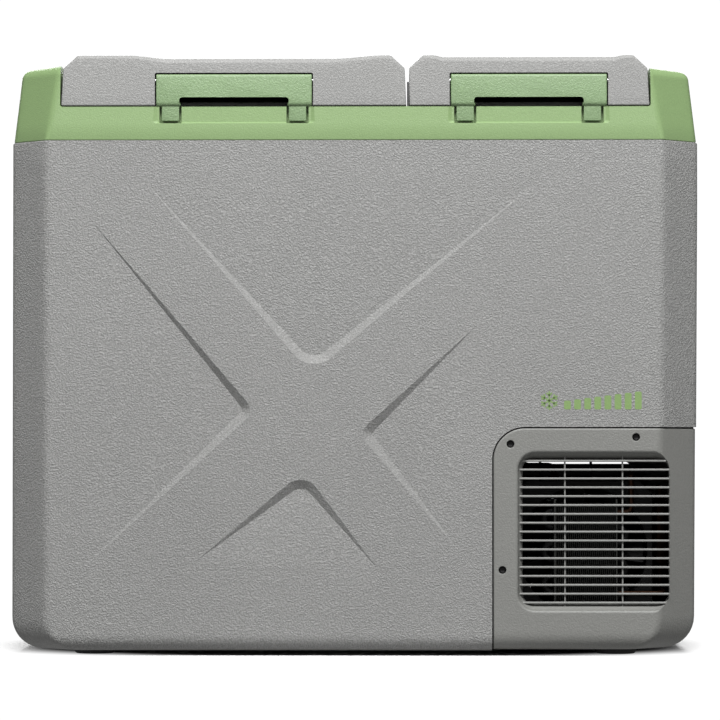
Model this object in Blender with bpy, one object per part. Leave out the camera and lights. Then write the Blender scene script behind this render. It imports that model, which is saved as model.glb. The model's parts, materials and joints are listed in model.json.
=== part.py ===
"""Dual-zone compressor cooler: a box-shaped portable fridge with two lids.

All lengths below are millimetres and MM turns them into metres where a mesh is made.
X runs to the cooler's right seen from its front, Y to its back, Z up.
The origin is on the floor under the middle of the cooler.
"""
import math

import bmesh
import bpy
from mathutils import Matrix, Vector

MM = 0.001

# ---- driving dimensions ----
WIDTH = 590.0
DEPTH = 365.0
FRONT = -DEPTH / 2
BODY_BASE = 4.5
BODY_TOP = 439.8
END_RADIUS = 29.0
FRONT_RADIUS = 13.0
FACET = 32.0
EDGE_RADIUS = 10.0
WALL = 3.0
GAP = 0.3

COLLAR_BASE = BODY_TOP + GAP
DECK = 468.8
CHEEK_SHOULDER = 493.0
CHEEK_TOP = 501.5
TROUGH = (-251.6, 253.0)
TROUGH_LEAN = 0.7

LINER_HALF_Y = 140.0
LINER_TOP = DECK - WALL - GAP
LINER_WALL = 2.0
LINER_CORNER = 14.0
LEFT_ROOM = {"x": (-228.0, 25.0), "floor": 62.0}
RIGHT_ROOM = {"x": (70.0, 230.0), "floor": 242.0}

LID_BASE = 469.5
LID_SHOULDER = 501.6
LID_RIM = 512.6
LID_DIP = 510.5
LEFT_LID = {"x": (-250.4, 44.4), "top_x": (-248.8, 43.0), "dip": 48.0, "latch": -102.8}
RIGHT_LID = {"x": (47.2, 251.7), "top_x": (46.8, 250.1), "dip": 10.0, "latch": 149.0}
LID_CHAMFER = 12.0
LID_FRAME_Y = -163.0
LID_CAVITY_BACK = 148.0
HINGE = (164.0, 477.5)
HINGE_BARREL = 8.0
HINGE_PIN = 1.9
KNUCKLE = 16.0

LATCH_HALF = 66.65
LATCH_OPENING = 45.5
LATCH_TOP = 496.6
LATCH_BAR = 475.4
LATCH_FACE = -181.6
LATCH_BACK = -173.0
LATCH_AXIS = (-176.5, 491.5)
LATCH_PIN = 1.5
HOOK_CENTRE = 54.3
HOOK_WIDTH = 15.0
HOOK_TIP = 456.5
NOTCH_BACK = -166.0

BAY_X = 117.9
BAY_TOP = 194.5
BAY_CORNER = 27.5
BAY_SEAM = 0.6
COVER_WALL = 2.5
COVER_SET_IN = 1.0
GRILLE = {"x": (139.7, 268.5), "z": (39.2, 173.0), "corner": 14.5}
REAR_GRILLE = {"x": (140.0, 252.0), "z": (45.0, 165.0), "corner": 10.0}
SLATS = 17
SLAT_PITCH = 7.55
SLAT_LOW = 45.4
SLAT_THICK = 1.8
SLAT_DEPTH = 2.6
GRILLE_SETBACK = 4.8
RIBS = (179.5, 228.6)
SCREWS = ((133.0, 180.5), (239.9, 186.4), (126.1, 73.3))
FAN_CENTRE = (198.0, 88.0)
FAN_Y = (-110.0, -85.0)
INLET_Z = (42.0, 62.0)
DC_Y = (-14.0, 12.0)
AC_Y = (34.0, 66.0)

HANDLE_Z = (372.0, 422.0)
HANDLE_HALF_Y = 65.0
HANDLE_DEPTH = 20.0
HANDLE_AXIS_Z = 411.0
HANDLE_AXIS_X = 285.5
HANDLE_GRIP = 12.0

PANEL_Y = (-58.0, 58.0)
PANEL_Z = (308.0, 352.0)
PANEL_DEPTH = 14.0
BUTTON_Y = (-44.0, -28.0, 28.0, 44.0)
BUTTON_RADIUS = 4.7
BUTTON_TRAVEL = 0.8

# the raised cross: each wedge pocket as its vertex and the two ends where it fades out, in X and Z
CROSS_DEPTH = 5.5
CROSS_SLOPE = 11.0
CROSS_WEDGES = (
    ((-37.5, 243.5), (-176.0, 401.0), (150.0, 399.0)),
    ((-89.0, 208.5), (-221.5, 82.0), (-218.0, 369.0)),
    ((8.0, 190.5), (86.0, 266.0), (77.0, 103.0)),
    ((-42.0, 151.0), (13.0, 82.0), (-128.0, 86.0)),
)


# ---- materials ----
def finish(name, color, roughness, metallic=0.0):
    """A Principled material with one colour, roughness and metallic value."""
    mat = bpy.data.materials.new(name)
    mat.use_nodes = True
    shader = mat.node_tree.nodes["Principled BSDF"]
    shader.inputs["Base Color"].default_value = (*color, 1.0)
    shader.inputs["Roughness"].default_value = roughness
    shader.inputs["Metallic"].default_value = metallic
    mat.diffuse_color = (*color, 1.0)
    return mat


# ---- outlines ----
def rounded(corners, radius, steps=2):
    """A closed outline whose corners are arcs; radius is one number or one for each corner."""
    outline = []
    count = len(corners)
    for i, corner in enumerate(corners):
        r = radius[i] if isinstance(radius, (tuple, list)) else radius
        here = Vector(corner)
        before = (Vector(corners[i - 1]) - here).normalized()
        after = (Vector(corners[(i + 1) % count]) - here).normalized()
        half = before.angle(after) / 2
        centre = here + (before + after).normalized() * (r / math.sin(half))
        start = here + before * (r / math.tan(half)) - centre
        end = here + after * (r / math.tan(half)) - centre
        sweep = start.angle_signed(end)
        for step in range(steps + 1):
            spoke = start.copy()
            spoke.rotate(Matrix.Rotation(-sweep * step / steps, 2))
            outline.append(tuple(centre + spoke))
    return outline


def rectangle(a_low, a_high, b_low, b_high):
    """The four corners of a rectangle, anticlockwise."""
    return [(a_low, b_low), (a_high, b_low), (a_high, b_high), (a_low, b_high)]


def chamfered(half_x, half_y, facet, radius):
    """A rectangle with flat facets across its corners, and each facet's edges rounded."""
    corners = []
    for sx, sy, swap in ((1, -1, 1), (1, 1, 0), (-1, 1, 1), (-1, -1, 0)):
        on_end = (sx * half_x, sy * (half_y - facet))
        on_face = (sx * (half_x - facet), sy * half_y)
        corners += [on_face, on_end] if swap else [on_end, on_face]
    return rounded(corners, radius)


def circle(a, b, radius, segments=16, phase=0.0):
    """A regular outline around a centre."""
    turns = [2 * math.pi * i / segments + phase for i in range(segments)]
    return [(a + radius * math.cos(t), b + radius * math.sin(t)) for t in turns]


def tuck(rise, radius):
    """How far a rounded bottom edge is drawn in at a height above its base."""
    rise = min(max(rise, 0.0), radius)
    return radius - math.sqrt(radius**2 - (radius - rise) ** 2)


# ---- solids ----
def solid(name, points, faces, mat):
    """A mesh object from points in millimetres, with its faces turned outwards."""
    mesh = bpy.data.meshes.new(name)
    mesh.from_pydata([Vector(p) * MM for p in points], [], faces)
    work = bmesh.new()
    work.from_mesh(mesh)
    bmesh.ops.recalc_face_normals(work, faces=work.faces)
    work.to_mesh(mesh)
    work.free()
    obj = bpy.data.objects.new(name, mesh)
    if mat:
        mesh.materials.append(mat)
    bpy.context.scene.collection.objects.link(obj)
    return obj


def loft(name, rings, mat=None, loop=False):
    """A closed body through rings of equal length, capped at both ends or joined round as a loop."""
    points = [point for ring in rings for point in ring]
    size = len(rings[0])
    bands = list(range(len(rings) - 1)) + ([len(rings) - 1] if loop else [])
    faces = []
    for band in bands:
        low, high = band * size, (band + 1) % len(rings) * size
        for i in range(size):
            j = (i + 1) % size
            faces.append((low + i, low + j, high + j, high + i))
    if not loop:
        faces.append(tuple(range(size)))
        faces.append(tuple(range(len(points) - size, len(points))))
    return solid(name, points, faces, mat)


def place(axis, outline, level):
    """Outline points put in space across an axis at a level."""
    if axis == "X":
        return [(level, a, b) for a, b in outline]
    if axis == "Y":
        return [(a, level, b) for a, b in outline]
    return [(a, b, level) for a, b in outline]


def prism(name, axis, outline, low, high, mat=None):
    """An outline carried straight along an axis."""
    return loft(name, [place(axis, outline, low), place(axis, outline, high)], mat)


def box(name, x, y, z, mat=None):
    """A plain block between two corners."""
    return prism(name, "Z", rectangle(x[0], x[1], y[0], y[1]), z[0], z[1], mat)


def turned(name, axis, centre, profile, mat=None, segments=24):
    """A turned body: rings of (radius, level) along an axis through a centre."""
    rings = [place(axis, circle(*centre, radius, segments), level) for radius, level in profile]
    return loft(name, rings, mat)


def tube(name, points, radius, mat, sides=8):
    """A round wire or pipe: a ring square to the path at each point, carried along without twisting."""
    path = [Vector(p) for p in points]
    steps = [(b - a).normalized() for a, b in zip(path, path[1:])]
    across = steps[0].orthogonal().normalized()
    rings = []
    for i, point in enumerate(path):
        ahead = (steps[max(i - 1, 0)] + steps[min(i, len(steps) - 1)]).normalized()
        across = (across - ahead * across.dot(ahead)).normalized()
        beside = ahead.cross(across)
        ring = [across * c + beside * s for c, s in circle(0.0, 0.0, radius, sides)]
        rings.append([tuple(point + spoke) for spoke in ring])
    return loft(name, rings, mat)


def bend_path(corners, radius, steps=4):
    """A path in space through corners, with each bend an arc."""
    path = [Vector(corners[0])]
    for i in range(1, len(corners) - 1):
        here = Vector(corners[i])
        before = (Vector(corners[i - 1]) - here).normalized()
        after = (Vector(corners[i + 1]) - here).normalized()
        half = before.angle(after) / 2
        reach = radius / math.tan(half)
        centre = here + (before + after).normalized() * (radius / math.sin(half))
        start = (here + before * reach - centre).normalized()
        end = (here + after * reach - centre).normalized()
        for step in range(steps + 1):
            path.append(centre + start.slerp(end, step / steps) * radius)
    path.append(Vector(corners[-1]))
    return path


def shade(obj, degrees=35.0):
    """Smooth shading with sharp edges past an angle."""
    obj.data.shade_smooth()
    obj.data.set_sharp_from_angle(angle=math.radians(degrees))
    return obj


def bevel(obj, width, segments=1, degrees=40.0):
    """A bevel on edges sharper than an angle."""
    edge = obj.modifiers.new("bevel", "BEVEL")
    edge.width = width * MM
    edge.segments = segments
    edge.limit_method = "ANGLE"
    edge.angle_limit = math.radians(degrees)
    return obj


def combine(target, operation, tools):
    """Boolean modifiers, one for each tool; the tools are hidden guides."""
    for tool in tools:
        tool.hide_render = True
        tool.display_type = "WIRE"
        step = target.modifiers.new(tool.name, "BOOLEAN")
        step.operation = operation
        step.solver = "EXACT"
        step.object = tool
    return target


def cut(target, *tools):
    return combine(target, "DIFFERENCE", tools)


def join(target, *tools):
    return combine(target, "UNION", tools)


def keep(target, tool):
    return combine(target, "INTERSECT", (tool,))


def pivot(name, place_mm, parent=None):
    """An empty on a joint's axis."""
    empty = bpy.data.objects.new(name, None)
    bpy.context.scene.collection.objects.link(empty)
    empty["place"] = place_mm
    base = Vector(parent["place"]) if parent else Vector((0, 0, 0))
    empty.parent = parent
    empty.location = (Vector(place_mm) - base) * MM
    return empty


def attach(obj, empty):
    """Give a piece its origin at an empty, and parent it there without moving it."""
    obj.data.transform(Matrix.Translation(-Vector(empty["place"]) * MM))
    obj.parent = empty
    return obj


# ---- the body ----
def body_ring(z, inset=0.0, end_inset=0.0, base=BODY_BASE):
    """The body's outline at a height, drawn in by an inset all round."""
    rise = z - base - inset
    half_x = WIDTH / 2 - inset - end_inset - tuck(rise, END_RADIUS - inset)
    half_y = DEPTH / 2 - inset - tuck(rise, FRONT_RADIUS - inset)
    facet = FACET - inset * (2 - math.sqrt(2))
    return place("Z", chamfered(half_x, half_y, facet, EDGE_RADIUS), z)


def body_rings(top, inset=0.0, end_inset=0.0, base=BODY_BASE, steps=4):
    """Rings from the tucked-in bottom edge up to a top."""
    turns = [math.pi / 2 * i / steps for i in range(steps + 1)]
    levels = [base + inset + (END_RADIUS - inset) * (1 - math.cos(t)) for t in turns] + [top]
    return [body_ring(z, inset, end_inset, base) for z in levels]


def wedge(name, corners, grow, front, vertex_y, ends_y, slope=0.0):
    """A three-sided block across Y: its back is deep at the first corner and shallow at the others."""
    points = [Vector(c) for c in corners]
    middle = sum(points, Vector((0, 0))) / 3
    points = [p + (p - middle).normalized() * grow for p in points]
    deep = points[0] + (middle - points[0]).normalized() * slope
    rings = [
        [(p.x, front, p.y) for p in points],
        [(deep.x, vertex_y, deep.y)] + [(p.x, ends_y, p.y) for p in points[1:]],
    ]
    return loft(name, rings)


def cross_pockets(name):
    """The cross's four wedge pockets, as cutters."""
    floor = FRONT + CROSS_DEPTH
    return [wedge(f"{name}_{i}", corners, 0.0, FRONT - 2, floor, FRONT - 0.3, CROSS_SLOPE)
            for i, corners in enumerate(CROSS_WEDGES)]


def cross_bosses(name, grow, behind):
    """The wall behind the four pockets, grown sideways and carried a distance behind their floors."""
    floor = FRONT + CROSS_DEPTH + behind
    return [wedge(f"{name}_{i}", corners, grow, FRONT - 5, floor, FRONT + behind)
            for i, corners in enumerate(CROSS_WEDGES)]


def end_pocket(name, side, y, z, depth, grow=0.0):
    """A block in one end of the body: a pocket, or grown, the boss that holds it."""
    inner, outer = WIDTH / 2 - depth - grow, WIDTH / 2 + 10
    x = (inner, outer) if side > 0 else (-outer, -inner)
    return box(name, x, (y[0] - grow, y[1] + grow), (z[0] - grow, z[1] + grow))


def end_pockets(name, grow=0.0):
    """The handle pocket in each end, and the control panel's pocket in the right end."""
    y = (-HANDLE_HALF_Y, HANDLE_HALF_Y)
    return [
        end_pocket(f"{name}_handle_left", -1, y, HANDLE_Z, HANDLE_DEPTH, grow),
        end_pocket(f"{name}_handle_right", 1, y, HANDLE_Z, HANDLE_DEPTH, grow),
        end_pocket(f"{name}_panel", 1, PANEL_Y, PANEL_Z, PANEL_DEPTH, grow),
    ]


def bay_block(name, seam, low_z=-20.0):
    """The compressor bay's corner of the body, with a round upper inner corner, through the depth."""
    corners = rectangle(BAY_X + seam, 400.0, low_z, BAY_TOP - seam)
    outline = rounded(corners, (1.0, 1.0, 1.0, BAY_CORNER - seam), 4)
    return prism(name, "Y", outline, -250.0, 250.0)


def handle_holes(name, side):
    """The cutter for a handle pin's seats in a pocket's side walls."""
    reach = HANDLE_HALF_Y + 2.3
    centre = (side * HANDLE_AXIS_X, HANDLE_AXIS_Z)
    return prism(name, "Y", circle(*centre, 2.8, 12), -reach, reach)


def make_outer_shell(mat):
    shell = loft("outer_shell", body_rings(BODY_TOP), mat)
    inside = loft("shell_inside", body_rings(BODY_TOP + 20, WALL))
    cut(inside, *cross_bosses("cross_boss", 4.0, WALL), *end_pockets("boss", WALL))
    cut(shell, inside, *cross_pockets("cross_pocket"), *end_pockets("pocket"))
    cut(shell, bay_block("bay_cut", -BAY_SEAM))
    cut(shell, handle_holes("pin_seat_left", -1), handle_holes("pin_seat_right", 1))
    return shade(shell)


def room_ring(room, z, grow):
    """A compartment's outline at a height: it narrows a little towards its floor."""
    draft = 1.5 * (LINER_TOP - z) / (LINER_TOP - 62.0)
    x = (room["x"][0] + draft - grow, room["x"][1] - draft + grow)
    half_y = LINER_HALF_Y - draft + grow
    outline = rounded(rectangle(*x, -half_y, half_y), LINER_CORNER + grow, 3)
    return place("Z", outline, z)


def make_liner(name, room, mat):
    """A thin tub with a flange under the collar's deck."""
    floor, under = room["floor"], LINER_TOP - LINER_WALL
    wall, corner = LINER_WALL, 6.0
    rings = [
        room_ring(room, floor - wall, wall - corner),
        room_ring(room, floor - wall + corner, wall),
        room_ring(room, under, wall),
        room_ring(room, under, wall + 8.0),
        room_ring(room, LINER_TOP, wall + 8.0),
        room_ring(room, LINER_TOP, 0.0),
        room_ring(room, floor + corner, 0.0),
        room_ring(room, floor, -corner),
    ]
    return shade(loft(name, rings, mat))


def make_evaporator(name, room, low, high, mat):
    """A thin aluminium band wrapped round a liner."""
    near, far = LINER_WALL + GAP, LINER_WALL + GAP + 1.4
    rings = [
        room_ring(room, low, far),
        room_ring(room, high, far),
        room_ring(room, high, near),
        room_ring(room, low, near),
    ]
    return shade(loft(name, rings, mat, loop=True))


def make_foam_body(mat):
    """The insulation: the space between shell, collar and liners."""
    slack = WALL + GAP
    rings = body_rings(438.0, slack) + [body_ring(438.0, 9.0), body_ring(449.0, 9.0)]
    foam = loft("foam_body", rings, mat)
    cut(foam, *cross_bosses("cross_clear", 4.6, WALL + GAP), *end_pockets("clear", WALL + GAP))
    for name, room, low, high in (("left", LEFT_ROOM, 90, 330), ("right", RIGHT_ROOM, 262, 420)):
        floor = room["floor"] - LINER_WALL - GAP
        near, far = LINER_WALL + GAP, LINER_WALL + 2 * GAP + 1.4
        levels = ((floor, near), (low - GAP, near), (low - GAP, far), (high + GAP, far))
        levels += ((high + GAP, near), (480.0, near))
        cut(foam, loft(f"void_{name}", [room_ring(room, z, grow) for z, grow in levels]))
    edge = BAY_X - 3.4
    cut(foam, box("bay_clear", (edge, 400), (-250, 250), (-20, BAY_TOP + 3.4)))
    return foam


# ---- the collar ----
def collar_ring(z, inset=0.0):
    """The collar's outline: it leans in going up and rounds over at the cheeks' tops."""
    lean = (z - COLLAR_BASE) / (CHEEK_SHOULDER - COLLAR_BASE)
    lean = min(lean, 1.0)
    over = max(z + inset - CHEEK_SHOULDER, 0.0) / (CHEEK_TOP - CHEEK_SHOULDER)
    roll = 1 - math.sqrt(max(1 - min(over, 1.0) ** 2, 0.0))
    half_x = WIDTH / 2 - 1.0 - 6.0 * lean - 8.5 * roll - inset
    half_y = DEPTH / 2 - 1.0 - 1.5 * lean - 4.0 * roll - inset
    facet = 31.0 + 4.0 * lean - inset * (2 - math.sqrt(2))
    return place("Z", chamfered(half_x, half_y, facet, EDGE_RADIUS), z)


def trough(name, grow):
    """The space between the cheeks above the deck, carried through the depth."""
    low, high = TROUGH[0] - grow, TROUGH[1] + grow
    outline = [
        (low, DECK - grow),
        (high, DECK - grow),
        (high - TROUGH_LEAN, CHEEK_TOP + 20),
        (low + TROUGH_LEAN, CHEEK_TOP + 20),
    ]
    return prism(name, "Y", outline, -250.0, 250.0)


def knuckle_outline(radius):
    """A hinge knuckle's side view: a round top over the hinge axis on a straight foot."""
    turns = [math.pi * i / 6 for i in range(7)]
    top = [(HINGE[0] + radius * math.cos(t), HINGE[1] + radius * math.sin(t)) for t in turns]
    return top + [(HINGE[0] - radius, DECK - 1.5), (HINGE[0] + radius, DECK - 1.5)]


def knuckle_places(lid):
    return (lid["x"][0] + 22.0, lid["x"][1] - 22.0)


def make_collar(mat):
    collar = loft("collar", [collar_ring(z) for z in
                             (COLLAR_BASE, CHEEK_SHOULDER, 497.2, 500.2, CHEEK_TOP)], mat)
    hollow = loft("collar_inside", [collar_ring(z, WALL) for z in
                                    (COLLAR_BASE - 20, COLLAR_BASE, CHEEK_SHOULDER - WALL, 498.0)])
    cut(hollow, trough("trough_wall", WALL))
    cut(collar, trough("trough", 0.0))
    for side, lid in (("left", LEFT_LID), ("right", RIGHT_LID)):
        centre = lid["latch"]
        cut(hollow, box(f"catch_boss_{side}", (centre - 72, centre + 72), (-200, -171.5), (450, 480)))
    cut(collar, hollow)
    for side, room in (("left", LEFT_ROOM), ("right", RIGHT_ROOM)):
        mouth = [(x, y) for x, y, _ in room_ring(room, LINER_TOP, 0.0)]
        cut(collar, prism(f"mouth_{side}", "Z", mouth, 455.0, 480.0))
    half, outline = KNUCKLE / 2, knuckle_outline(HINGE_BARREL)
    for side, lid in (("left", LEFT_LID), ("right", RIGHT_LID)):
        for i, x in enumerate(knuckle_places(lid)):
            join(collar, prism(f"knuckle_{side}_{i}", "X", outline, x - half, x + half))
    join(collar, box("lid_rib", (45.3, 46.3), (-140, 150), (DECK - 1, 494.0)))
    for side, lid in (("left", LEFT_LID), ("right", RIGHT_LID)):
        centre = lid["latch"]
        recess = rounded(rectangle(centre - 69.2, centre + 69.2, 454.4, 490.0), 3.0)
        cut(collar, prism(f"recess_{side}", "Y", recess, -200.0, -179.5))
        for i, x in enumerate((centre - HOOK_CENTRE, centre + HOOK_CENTRE)):
            cut(collar, box(f"hook_pocket_{side}_{i}", (x - 10, x + 10), (-200, -174.5), (455.7, 490)))
        hole = circle(*HINGE, HINGE_PIN + 0.3, 16)
        cut(collar, prism(f"pin_bore_{side}", "X", hole, lid["x"][0] + 5, lid["x"][1] - 5))
    return shade(collar)


# ---- the lids ----
def lid_front(z):
    """The lid's front face: it leans back slightly going up."""
    return -182.0 + 0.025 * (z - LID_BASE)


def lid_station(x_low, x_high, top):
    """One cross-section of a lid, from front to back, with its end face leaning from x_low to x_high."""
    side = [(lid_front(LID_BASE), LID_BASE), (lid_front(top - 3), top - 3)]
    side += [(lid_front(top) + 2.5, top), (156.0, top), (165.5, top - 9.0), (170.2, 489.0)]
    for degrees in (0, -30, -60, -90):
        t = math.radians(degrees)
        side.append((HINGE[0] + HINGE_BARREL * math.cos(t), HINGE[1] + HINGE_BARREL * math.sin(t)))
    height = LID_SHOULDER - LID_BASE
    return [(x_low + (x_high - x_low) * (z - LID_BASE) / height, y, z) for y, z in side]


def lid_stations(lid):
    """Stations along a lid: end, chamfer top, rim, dip, and the same back."""
    (low, high), (top_low, top_high) = lid["x"], lid["top_x"]
    dip = lid["dip"]
    near = [(LID_CHAMFER, LID_RIM), (LID_CHAMFER + dip * 0.7, LID_DIP + 0.8)]
    near += [(LID_CHAMFER + dip, LID_DIP)]
    stations = [lid_station(low, top_low, LID_SHOULDER)]
    stations += [lid_station(top_low + d, top_low + d, top) for d, top in near]
    stations += [lid_station(top_high - d, top_high - d, top) for d, top in reversed(near)]
    stations.append(lid_station(high, top_high, LID_SHOULDER))
    return stations


def lid_cavity_ring(x, top):
    front, back = LID_FRAME_Y, LID_CAVITY_BACK
    return [(x, front, LID_BASE - 10), (x, front, top), (x, back, top), (x, back, LID_BASE - 10)]


def lid_cavity(name, lid, inset, low_cut=0.0):
    """The hollow under a lid, or drawn in, the foam that fills it."""
    low, high = lid["x"][0] + WALL + inset, lid["x"][1] - WALL - inset
    rings = [
        lid_cavity_ring(low, LID_SHOULDER - 4 - inset),
        lid_cavity_ring(low + LID_CHAMFER, LID_DIP - WALL - inset),
        lid_cavity_ring(high - LID_CHAMFER, LID_DIP - WALL - inset),
        lid_cavity_ring(high, LID_SHOULDER - 4 - inset),
    ]
    drawn = []
    for ring in rings:
        shifted = [(x, y + (inset if y < 0 else -inset), max(z, low_cut)) for x, y, z in ring]
        drawn.append(shifted)
    return loft(name, drawn)


def make_lid(side, lid, room, mats):
    """One lid: moulded shell, inner panel, foam and gasket."""
    hinge = pivot(f"lid_{side}_hinge", ((lid["x"][0] + lid["x"][1]) / 2, *HINGE))
    shell = loft(f"lid_shell_{side}", lid_stations(lid), mats["lid_grey"])
    cut(shell, lid_cavity(f"lid_hollow_{side}", lid, 0.0))
    centre, half = lid["latch"], LATCH_HALF + 1.0
    cut(shell, box(f"notch_{side}", (centre - half, centre + half), (-220, NOTCH_BACK),
                   (LID_BASE - 10, LATCH_TOP + 1.0)))
    hole = circle(*LATCH_AXIS, LATCH_PIN + 0.25, 12)
    cut(shell, prism(f"latch_bore_{side}", "X", hole, centre - half - 5.5, centre + half + 5.5))
    for i, x in enumerate(knuckle_places(lid)):
        wide = KNUCKLE / 2 + 0.5
        round_way = circle(*HINGE, 12.3, 24)
        cut(shell, prism(f"knuckle_way_{side}_{i}", "X", round_way, x - wide, x + wide))
    hole = circle(*HINGE, HINGE_PIN + 0.3, 16)
    cut(shell, prism(f"lid_bore_{side}", "X", hole, lid["x"][0] - 5, lid["x"][1] + 5))
    shade(attach(shell, hinge))

    pin = prism(f"hinge_pin_{side}", "X", circle(*HINGE, HINGE_PIN, 16), lid["x"][0] + 9,
                lid["x"][1] - 9, mats["steel"])
    shade(pin)

    plate_x = (lid["x"][0] + WALL + GAP, lid["x"][1] - WALL - GAP)
    plate = rounded(rectangle(*plate_x, LID_FRAME_Y + GAP, LID_CAVITY_BACK - GAP), 1.0, 3)
    plug_x = (room["x"][0] + 3.0, room["x"][1] - 3.0)
    half_y = LINER_HALF_Y - 3.0

    def plug(grow, z):
        rect = rectangle(plug_x[0] - grow, plug_x[1] + grow, -half_y - grow, half_y + grow)
        return place("Z", rounded(rect, LINER_CORNER - 3.0 + grow, 3), z)

    wall, low, high = 2.0, 456.0, 474.5
    rings = [plug(-wall - 1, low + wall), plug(-wall, high), place("Z", plate, high)]
    rings += [place("Z", plate, high - 2.5), plug(0.0, high - 2.5), plug(0.0, low + 3.0)]
    rings += [plug(-3.0, low)]
    shade(attach(loft(f"lid_liner_{side}", rings, mats["liner_white"]), hinge))

    foam = lid_cavity(f"lid_foam_{side}", lid, 0.6, high + GAP)
    foam.data.materials.append(mats["foam"])
    attach(foam, hinge)

    def seal(grow, z):
        rect = rectangle(plug_x[0] - grow, plug_x[1] + grow, -half_y - grow, half_y + grow)
        return place("Z", rounded(rect, 8.0 + grow, 3), z)

    rings = [seal(5.0, DECK + GAP), seal(11.0, DECK + GAP), seal(10.0, 471.7), seal(6.0, 471.7)]
    shade(attach(loft(f"lid_gasket_{side}", rings, mats["rubber"], loop=True), hinge))
    return hinge


def make_latch(side, lid, hinge, mats):
    """The latch handle: a bar with two legs and two hooks, its pin and its spring."""
    centre = lid["latch"]
    y, z = LATCH_AXIS
    axis = pivot(f"latch_{side}_axis", (centre, y, z), hinge)
    face, back = LATCH_FACE, LATCH_BACK
    outline = [(face, LATCH_BAR), (face, LATCH_TOP - 2.4), (face + 2.4, LATCH_TOP)]
    outline += [(back - 1.0, LATCH_TOP), (back, LATCH_TOP - 1.0), (back, LATCH_BAR)]
    latch = prism(f"latch_{side}", "X", outline, centre - LATCH_HALF, centre + LATCH_HALF,
                  mats["trim_green"])
    for i, way in enumerate((-1, 1)):
        outer, inner = centre + way * LATCH_HALF, centre + way * LATCH_OPENING
        leg_x = (min(outer, inner), max(outer, inner))
        join(latch, box(f"leg_{side}_{i}", leg_x, (face, back), (LID_BASE - 0.3, LATCH_BAR + 2)))
        hook = centre + way * HOOK_CENTRE
        hook_x = (hook - HOOK_WIDTH / 2, hook + HOOK_WIDTH / 2)
        join(latch, box(f"hook_{side}_{i}", hook_x, (face + 0.7, face + 3.7), (HOOK_TIP, LATCH_BAR)))
    bore = circle(y, z, LATCH_PIN + 0.25, 12)
    cut(latch, prism(f"latch_hole_{side}", "X", bore, centre - 90, centre + 90))
    cut(latch, box(f"spring_slot_{side}", (centre - 6, centre + 6), (face + 2.2, -160), (484, 510)))
    shade(attach(latch, axis))

    reach = LATCH_HALF + 1.0 + 5.0
    pin = prism(f"latch_pin_{side}", "X", circle(y, z, LATCH_PIN, 12), centre - reach,
                centre + reach, mats["steel"])
    shade(attach(pin, hinge))

    turns, coil, pitch, per_turn = 4, 2.35, 1.35, 10
    wire = []
    for i in range(turns * per_turn + 1):
        t = 2 * math.pi * i / per_turn
        x = centre - turns * pitch / 2 + pitch * i / per_turn
        wire.append((x, y + coil * math.cos(t), z - coil * math.sin(t)))
    last = wire[-1]
    wire.append((last[0], last[1] + 0.2, last[2] - 5.0))
    spring = tube(f"latch_spring_{side}", wire, 0.5, mats["steel"], 6)
    attach(spring, hinge)


# ---- the compressor bay ----
def grille_outline(grille, grow):
    """The grille opening's outline."""
    (x_low, x_high), (z_low, z_high) = grille["x"], grille["z"]
    rect = rectangle(x_low - grow, x_high + grow, z_low - grow, z_high + grow)
    return rounded(rect, grille["corner"] + grow, 4)


def make_compressor_cover(mat):
    """A moulding that wraps the bay's front, end and back, with a walled opening for each grille."""
    base = BODY_BASE + 1.0
    cover = loft("compressor_cover", body_rings(BAY_TOP + 10, 0.0, COVER_SET_IN, base), mat)
    rings = body_rings(BAY_TOP + 20, COVER_WALL, COVER_SET_IN, base)
    rings.insert(0, [(x, y, -20.0) for x, y, _ in rings[0]])
    inside = loft("cover_inside", rings)
    depth = 170.0
    cut(inside, prism("front_tunnel", "Y", grille_outline(GRILLE, 2.5), -250.0, -depth),
        prism("rear_tunnel", "Y", grille_outline(REAR_GRILLE, 2.5), depth, 250.0))
    cut(cover, inside)
    keep(cover, bay_block("cover_region", BAY_SEAM))
    cut(cover, prism("front_opening", "Y", grille_outline(GRILLE, 0.0), -250.0, -100.0),
        prism("rear_opening", "Y", grille_outline(REAR_GRILLE, 0.0), 100.0, 250.0))
    for i, (x, z) in enumerate(SCREWS):
        cut(cover, prism(f"counterbore_{i}", "Y", circle(x, z, 3.25), -200.0, FRONT + 1.6))
        cut(cover, prism(f"screw_hole_{i}", "Y", circle(x, z, 1.8, 12), -200.0, FRONT + 6.0))
    cut(cover, box("dc_window", (280, 320), DC_Y, INLET_Z), box("ac_window", (280, 320), AC_Y, INLET_Z))
    return shade(cover)


def make_inlet(name, y, pins, mat):
    """A power socket: a block with a deep mouth in the cover's end wall and two contact pins."""
    outer = WIDTH / 2 - COVER_SET_IN
    y_low, y_high = y[0] + GAP, y[1] - GAP
    z_low, z_high = INLET_Z[0] + GAP, INLET_Z[1] - GAP
    body = box(name, (outer - 24, outer - 0.4), (y_low, y_high), (z_low, z_high), mat)
    mouth = rounded(rectangle(y_low + 3, y_high - 3, z_low + 3, z_high - 3), 3.0)
    cut(body, prism(f"{name}_mouth", "X", mouth, outer - 17, outer + 10))
    middle = (y[0] + y[1]) / 2
    for i, way in enumerate((-1, 1)):
        spot = circle(middle + way * pins, (z_low + z_high) / 2, 1.3, 10)
        join(body, prism(f"{name}_pin_{i}", "X", spot, outer - 18, outer - 8))
    return shade(body)


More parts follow.
